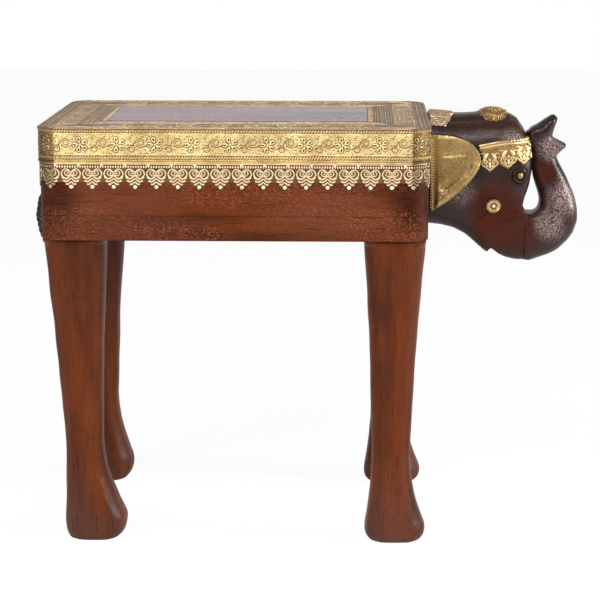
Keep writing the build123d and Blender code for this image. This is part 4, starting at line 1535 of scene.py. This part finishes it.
class STOOL_OT_ears(bpy.types.Operator):
    """The two ears, with their brass sheets beaten into folds"""
    bl_idname = "stool.ears"
    bl_label = "Ears"

    def execute(self, context):
        borders = []
        for side, sign in (("near", -1), ("far", 1)):
            board = self.drawn_back(copy_of(f"ear_{side}"))
            finished(smooth(board), f"ear_board_{side}", head_wood(), "head_wood", f"ear_{side}")
            low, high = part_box(f"ear_sheet_{side}")
            sheet = carving_of(f"ear_sheet_{side}", 0.6)
            self.beat(sheet, low, high, sign)
            sheet = self.drawn_back(softened(sheet, 4))
            finished(sheet, f"ear_brass_{side}", brass("ears"), "head_brass", f"ear_sheet_{side}")
            row = []
            for step in range(26):
                for along in (1.5, 3.3):
                    row.append(stud(along, -4.5 - 3.0 * step - along / 2, 0.8, 0.6, 6, 4))
            row = joined(row)
            co = points_of(row)
            outer = low.y if sign < 0 else high.y
            place = np.column_stack(
                (low.x + co[:, 0] - EAR_BACK, outer + sign * (co[:, 2] + 0.3 * MM), high.z + co[:, 1]))
            borders.append(merged(set_points(row, place)))
        finished(smooth(joined(borders)), "ear_beads", brass("raised"), "head_brass")
        return {"FINISHED"}

    def drawn_back(self, piece):
        """Brings the rear edge of an ear close to the seat."""
        co = points_of(piece)
        from_edge = co[:, 0] - co[:, 0].min()
        co[:, 0] -= EAR_BACK * np.clip(1 - from_edge / (14 * MM), 0, 1)
        return set_points(piece, co)

    def beat(self, sheet, low, high, sign):
        """Raises the folds of an ear on the outer face of its sheet."""
        co = points_of(sheet)
        flat = np.column_stack((co[:, 0] - low.x, high.z - co[:, 2])) / MM
        depth = (high.z - low.z) / MM
        height = flat[:, 1] / depth * EAR_ROWS
        rows = np.clip(height.astype(int), 0, EAR_ROWS - 1)
        rim = np.array(
            [flat[rows == row, 0].max() if (rows == row).any() else 1.0 for row in range(EAR_ROWS)])
        rim_here = np.interp(height, np.arange(EAR_ROWS) + 0.5, rim)
        share = np.clip(flat[:, 0] / np.maximum(rim_here, 1), 0, 1)
        edge = np.clip((1 - share) * 6, 0, 1) * np.clip((flat[:, 1]) / 5, 0, 1)
        relief = 2.4 * np.sin(pi * np.clip(share, 0.02, 1) ** 0.8) * edge
        for line, rise, half_width in EAR_LINES:
            relief += rise * np.exp(-(away_from(flat, line) / half_width) ** 2)
        relief *= np.clip((flat[:, 0] - 4.2) / 2.5, 0, 1) * np.clip((1 - share) * 14 + 0.25, 0, 1)
        outer = sign * co[:, 1] > sign * (low.y + high.y) / 2
        co[:, 1] += sign * np.maximum(relief, 0.0) * MM * outer
        set_points(sheet, co)


def rosette(radius, petals, height, boss, inner=0.42, fill=0.66):
    """Ribbed petals round a boss, in millimetres."""
    inner = radius * inner
    middle = (radius + inner) / 2
    parts = [stud(0, 0, boss, height * 1.5, 12, 6)]
    for petal_number in range(petals):
        turn = 2 * pi * petal_number / petals
        parts.append(lens(
            middle * cos(turn), middle * sin(turn), radius - inner, 2 * pi * middle / petals * fill,
            height, 360 * petal_number / petals, 8, 4))
    return joined(parts)


BAND_TOP_EDGE = ((56.4, 29.8), (70.0, 27.4), (83.0, 25.6), (107.0, 24.3), (118.0, 24.0))
BAND_PENDANTS = ((67.4, 57.6), (88.4, 54.4), (106.0, 50.4))
BAND_NAILS = ((76.6, 43.6), (96.4, 41.2))
PENDANT_RIM = (
    (-4.4, 14.4), (-7.6, 11.0), (-8.4, 7.0), (-5.2, 4.2), (0.0, 0.9), (5.2, 4.2), (8.4, 7.0), (7.6, 11.0),
    (4.4, 14.4),
)


CROWN_WIDTH = 1.30          # across the head, as a share of its length
NECK_SCALLOPS = 9.5         # from the middle of the neck leaf to each side


class STOOL_OT_head_brass(bpy.types.Operator):
    """Forehead band, crown medallion, neck leaf, cheek rosettes and eye studs with their rims"""
    bl_idname = "stool.head_brass"
    bl_label = "Brass on the head"

    def execute(self, context):
        head = bpy.data.objects["carved_head"]
        self.forehead(head)
        self.crown(head)
        self.neck(head)
        self.eye_rims(head)
        for node, name in (("cheek_rosettes", "rosettes"), ("eye_studs", "eyes")):
            self.round_piece(head, node, name)
        return {"FINISHED"}

    def forehead(self, head):
        """The band over the forehead with its rail, its ornament and its nails."""
        # the band's sheet is of the darker recessed brass: painted shade in the gaps between its
        # ornaments
        band = finished(
            smooth(copy_of("forehead_band")), "forehead_sheet", brass("recess"), "head_brass",
            "forehead_band")
        ornaments = []
        nails = []
        rails = []
        upper = [(reach, -drop) for reach, drop in curved(BAND_TOP_EDGE, 30)]
        for sign in (-1, 1):
            for pieces, flat in (
                    (rails, plate([*upper, *((reach, up - 6.5) for reach, up in reversed(upper))], 0.7)),
                    (ornaments, self.band_ornament()),
                    (nails, joined([stud(reach, -drop, 2.5, 1.5, 10, 6) for reach, drop in BAND_NAILS]))):
                pieces.append(laid_on(flat, [band, head], "Y", sign, (HEAD_END, CREST)))
        finished(smooth(joined(ornaments)), "forehead_ornament", brass("raised"), "head_brass")
        finished(smooth(joined(rails)), "forehead_rail", brass("recess"), "head_brass")
        finished(smooth(joined(nails)), "forehead_nails", brass("recess"), "head_brass")

    def crown(self, head):
        """The medallion on the crown."""
        low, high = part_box("crown_medallion")
        place = ((low.x + high.x) / 2, 0.0)
        crown = self.under_crown(laid_on(self.crown_plate(), [head], "Z", 1, place))
        finished(smooth(crown, 60), "crown_plate", brass("recess"), "head_brass", "crown_medallion")
        dressing = self.under_crown(laid_on(self.crown_ornament(), [head, crown], "Z", 1, place))
        finished(smooth(dressing), "crown_ornament", brass("ears"), "head_brass")

    def neck(self, head):
        """The leaf on the neck."""
        leaf_sheet = laid_on(self.neck_sheet(), [head], "Z", 1, (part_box("neck_leaf")[0].x, 0.0))
        leaf_sheet = modified(leaf_sheet, "SOLIDIFY", thickness=0.6 * MM, offset=-1.0)
        # the neck leaf is of the greyer border brass, whose greyness stands partly for its pale shine, a
        # painted highlight
        finished(smooth(leaf_sheet), "neck_sheet", brass("border"), "head_brass", "neck_leaf")

    def eye_rims(self, head):
        """A wooden rim round each eye."""
        rims = []
        for sign in (-1, 1):
            bpy.ops.mesh.primitive_torus_add(
                major_segments=36, minor_segments=10, major_radius=6.9 * MM, minor_radius=1.35 * MM)
            rims.append(laid_on(new_piece(), [head], "Y", sign, side_middle("eye_studs")))
        finished(smooth(joined(rims), 60), "eye_rims", head_wood(), "head_wood")

    def round_piece(self, head, node, name):
        """The plates of the two rosettes or eyes, and what is raised on them."""
        low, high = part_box(node)
        middle = side_middle(node)
        radius = (high.x - low.x) / 2 / MM
        base = finished(smooth(copy_of(node)), f"{name}_plate", brass("patina"), "head_brass", node)
        faces = []
        for sign in (-1, 1):
            if name == "rosettes":
                flat = rosette(radius, 18, 1.3, radius * 0.26)
            else:
                flat = stud(0, 0, radius, 1.6, 16, 8)
            faces.append(laid_on(flat, [base, head], "Y", sign, middle))
        metal = brass("raised" if name == "rosettes" else "ears")
        finished(smooth(joined(faces)), f"{name}_raised", metal, "head_brass")

    def under_crown(self, piece):
        """Keeps the crown's pieces below the highest place of the frame."""
        co = points_of(piece)
        co[:, 2] = np.minimum(co[:, 2], CAD_BOX[1].z - 0.05 * MM)
        return set_points(piece, co)

    def band_ornament(self):
        """Beaded cord, fillet and pendants of the forehead band; X is the reach and Y is up."""
        top = [(reach, -drop) for reach, drop in curved(BAND_TOP_EDGE, 24)]
        parts = [raised_lines([[(reach, up - 3.3) for reach, up in top]], 2.3)]
        for step in range(30):
            share = step / 29 * (len(top) - 1)
            k = min(int(share), len(top) - 2)
            t = share - k
            reach = top[k][0] + (top[k + 1][0] - top[k][0]) * t
            parts.append(stud(reach, top[k][1] + (top[k + 1][1] - top[k][1]) * t - 0.6, 1.15, 1.1, 8, 4))
        rims = []
        scrolls = []
        for reach, drop in BAND_PENDANTS:
            outline_places = [(reach + x, y - drop) for x, y in PENDANT_RIM]
            rims.append(curved(outline_places, 26))
            for side in (-1, 1):
                parts.append(lens(reach + side * 4.7, 16.0 - drop, 8.6, 3.6, 1.5, 90 + side * 40, 12, 6))
                parts.append(lens(reach + side * 3.2, 5.4 - drop, 5.0, 1.9, 1.0, 90 - side * 40, 8, 4))
                volute = (reach + side * 4.6, 9.6 - drop)
                scrolls.append(spiral(volute, 2.4, 0.8, 90 - side * 60, side * 380, 11))
                scrolls.append(curved([
                    (reach + side * 3.4, 14.2 - drop), (reach + side * 5.6, 18.4 - drop),
                    (reach + side * 10.0, 18.6 - drop)], 8))
            parts.append(lens(reach, 6.2 - drop, 7.0, 2.4, 1.2, 90, 10, 5))
            parts.append(stud(reach, 12.0 - drop, 1.5, 1.2, 8, 4))
        parts.append(raised_lines(rims, 1.5))
        parts.append(raised_lines(scrolls, 1.6))
        return joined(parts)

    def widened(self, flat):
        """Stretches the crown's flat pieces across the head."""
        return set_points(flat, points_of(flat) * (1, CROWN_WIDTH, 1))

    def crown_plate(self):
        """A dome on a lobed plate, longer across the head than along it."""
        flange = stud(0, 0, 18.4, 1.2, 72, 14)
        co = points_of(flange)
        turn = np.arctan2(co[:, 1], co[:, 0])
        co[:, :2] *= (0.94 + 0.06 * np.abs(np.cos(turn * 9)))[:, None]
        set_points(flange, co)
        return self.widened(joined([flange, stud(0.8, 0, 15.0, 4.6, 40, 20)]))

    def crown_ornament(self):
        """Ribs at the foot of the dome and a stipple over it."""
        parts = [shifted(rosette(16.2, 40, 0.9, 1.6, 0.80, 0.7), 0.8 * MM)]
        for ring, count, size in ((3.4, 8, 1.0), (5.8, 13, 1.0), (8.2, 19, 1.0), (10.6, 25, 1.0)):
            for step in range(count):
                turn = 2 * pi * (step + ring / 5) / count
                parts.append(stud(0.8 + ring * cos(turn), ring * sin(turn), size, 0.7, 6, 4))
        return self.widened(joined(parts))

    def neck_sheet(self):
        """A sheet ribbed along the neck, with scalloped edges at its sides and end."""
        bpy.ops.mesh.primitive_grid_add(x_subdivisions=28, y_subdivisions=150, size=1)
        sheet = new_piece()
        co = points_of(sheet)
        along = co[:, 0] + 0.5
        across = co[:, 1] * 2
        scallop = np.abs(np.sin(across * NECK_SCALLOPS * pi))
        reach = 0.6 + along * (25.4 - 9.0 * across ** 2 + 1.6 * scallop)
        width = 31.0 + 1.2 * np.abs(np.sin(along * 4 * pi))
        rise = 0.55 + 0.75 * scallop ** 0.6
        edge = np.clip((1 - np.maximum(np.abs(across), along)) * 26, 0, 1)
        flat = np.column_stack((reach, across * width, 0.25 + rise * edge)) * MM
        return set_points(sheet, flat)


BRAID_PITCH = 6.3


class STOOL_OT_tail(bpy.types.Operator):
    """The tail, carved as a braid"""
    bl_idname = "stool.tail"
    bl_label = "Tail"

    def execute(self, context):
        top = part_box("tail")[1].z
        tail = softened(carving_of("tail", 0.8), 8)
        co = points_of(tail)
        normals = normals_of(tail)
        down = (top - co[:, 2]) / MM
        lean = BRAID_PITCH / 2 * np.sign(co[:, 1]) * np.clip(np.abs(co[:, 1]) / (3 * MM), 0, 1)
        lobes = np.abs(np.sin(pi * (down + lean) / BRAID_PITCH))
        groove = np.exp(-(co[:, 1] / (0.9 * MM)) ** 2)
        outside = np.clip((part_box("upper_board_tail")[0].x - co[:, 0]) / (4 * MM), 0, 1)
        co += normals * ((lobes - 1.0) * 1.3 - 0.7 * groove)[:, None] * MM * outside[:, None]
        set_points(tail, co)
        finished(tail, "carved_tail", head_wood(), "head_wood", "tail")
        return {"FINISHED"}


class STOOL_OT_hidden(bpy.types.Operator):
    """Finishes for the pieces that are mostly out of sight"""
    bl_idname = "stool.hidden"
    bl_label = "Hidden pieces"

    def execute(self, context):
        pale = wood(
            "Plain_hardwood", (0.42, 0.25, 0.12), (0.24, 0.12, 0.05), scale=40.0, roughness=(0.5, 0.7))
        for node in NODES.values():
            if not node.hide_render:
                node.data.materials.clear()
                node.data.materials.append(pale)
        return {"FINISHED"}


# ------------------------------------------------------------------ stage

CAMERA_AHEAD = 0.13095
CAMERA_DISTANCE = 2.20908
CAMERA_HEIGHT = 0.69227
CAMERA_TILT = 11.48124      # degrees below the level
CAMERA_TURN = 1.66823       # degrees
CAMERA_LENS = 118.11
ROOM_LIGHT = 0.28           # strength of the room's soft light
LAMPS = (
    ("key", (-1.5, -1.9, 1.5), (1.3, 1.3)),
    ("fill", (2.3, -0.35, 0.95), (0.4, 0.8)),
    ("front", (-1.9, -2.7, 0.55), (2.0, 1.0)),
    ("top", (0.2, -1.5, 2.1), (1.5, 0.35)),
)


class STOOL_OT_stage(bpy.types.Operator):
    """Camera, lamps, floor and backdrop"""
    bl_idname = "stool.stage"
    bl_label = "Stage"

    def execute(self, context):
        settings = stage_settings()
        bpy.ops.object.camera_add(
            location=(SEAT_MIDDLE + CAMERA_AHEAD, -CAMERA_DISTANCE, CAMERA_HEIGHT),
            rotation=(radians(90 - CAMERA_TILT), 0, radians(CAMERA_TURN)))
        camera = new_piece()
        camera.data.sensor_width = 36.0
        camera.data.lens = CAMERA_LENS
        context.scene.camera = camera

        bpy.ops.mesh.primitive_plane_add(size=12, location=(0, 0, -0.0002))
        floor = new_piece()
        floor.name = "floor"
        floor.data.materials.append(self.floor_material(settings))
        self.world(settings)
        for name, place, size in LAMPS:
            self.lamp(f"{name}_lamp", place, size, getattr(settings, f"{name}_power"))
        context.scene.view_settings.view_transform = "Standard"
        return {"FINISHED"}

    def lamp(self, name, place, size, power):
        """A rectangular soft lamp aimed at the stool."""
        bpy.ops.object.light_add(type="AREA", location=place)
        lamp = new_piece()
        lamp.name = name
        lamp.data.shape = "RECTANGLE"
        lamp.data.size, lamp.data.size_y = size
        lamp.data.energy = power
        aim = Vector((0, 0, 0.25)) - Vector(place)
        lamp.visible_camera = False
        lamp.rotation_mode = "QUATERNION"
        lamp.rotation_quaternion = aim.to_track_quat("-Z", "Y")

    def floor_material(self, settings):
        """A pale floor that looks white to the camera and keeps the stool's shadow."""
        material, tree, shader, _ = new_material("Pale_floor")
        shader.inputs["Base Color"].default_value = (*settings.backdrop, 1)
        shader.inputs["Roughness"].default_value = 0.9
        shader.inputs["Specular IOR Level"].default_value = 0.0
        glow = tree.nodes.new("ShaderNodeEmission")
        glow.inputs["Color"].default_value = (*settings.backdrop, 1)
        path = tree.nodes.new("ShaderNodeLightPath")
        seen = times(tree, path.outputs["Is Camera Ray"], 0.94)
        mix = tree.nodes.new("ShaderNodeMixShader")
        tree.links.new(seen, mix.inputs["Fac"])
        tree.links.new(shader.outputs["BSDF"], mix.inputs[1])
        tree.links.new(glow.outputs["Emission"], mix.inputs[2])
        output = tree.nodes["Material Output"]
        tree.links.new(mix.outputs["Shader"], output.inputs["Surface"])
        return material

    def world(self, settings):
        """A white room for the camera, a pale one for reflections and soft light for the rest."""
        world = bpy.context.scene.world or bpy.data.worlds.new("Room")
        bpy.context.scene.world = world
        world.use_nodes = True
        tree = world.node_tree
        background = tree.nodes["Background"]
        background.inputs["Color"].default_value = (*settings.backdrop, 1)
        path = tree.nodes.new("ShaderNodeLightPath")
        seen = times(tree, path.outputs["Is Camera Ray"], 1.0 - ROOM_LIGHT)
        direction = tree.nodes.new("ShaderNodeTexCoord")
        depth = parts_of(tree, direction.outputs["Generated"])["Y"]
        behind = times(tree, ramp_node(tree, depth, 0.1, 0.8), 0.56)
        mirrored_room = times(tree, path.outputs["Is Glossy Ray"], behind)
        strength = plus(tree, math_node(tree, "MAXIMUM", seen, mirrored_room), ROOM_LIGHT)
        tree.links.new(strength, background.inputs["Strength"])


class STOOL_PT_pieces(bpy.types.Panel):
    """Buttons for every group of pieces"""
    bl_idname = "STOOL_PT_pieces"
    bl_label = "Elephant Stool"
    bl_space_type = "VIEW_3D"
    bl_region_type = "UI"
    bl_category = "Elephant Stool"

    def draw(self, context):
        for settings in (context.scene.stool_brass, context.scene.stool_wood, context.scene.stool_stage):
            column = self.layout.column(align=True)
            for name in settings.__annotations__:
                column.prop(settings, name)
        for operator in OPERATORS:
            self.layout.operator(operator.bl_idname)


OPERATORS = (
    STOOL_OT_flower_band,
    STOOL_OT_leaf_band,
    STOOL_OT_seat_top,
    STOOL_OT_boards,
    STOOL_OT_legs,
    STOOL_OT_head,
    STOOL_OT_ears,
    STOOL_OT_head_brass,
    STOOL_OT_tail,
    STOOL_OT_hidden,
    STOOL_OT_stage,
)
CLASSES = (StoolBrassSettings, StoolWoodSettings, StoolStageSettings, *OPERATORS, STOOL_PT_pieces)


def register():
    for cls in CLASSES:
        bpy.utils.register_class(cls)
    bpy.types.Scene.stool_brass = PointerProperty(type=StoolBrassSettings)
    bpy.types.Scene.stool_wood = PointerProperty(type=StoolWoodSettings)
    bpy.types.Scene.stool_stage = PointerProperty(type=StoolStageSettings)


def unregister():
    del bpy.types.Scene.stool_brass
    del bpy.types.Scene.stool_wood
    del bpy.types.Scene.stool_stage
    for cls in reversed(CLASSES):
        bpy.utils.unregister_class(cls)


def main():
    """Registers the add-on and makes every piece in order."""
    register()
    for operator in OPERATORS:
        group, name = operator.bl_idname.split(".")
        getattr(getattr(bpy.ops, group), name)()


if __name__ == "__main__":
    main()
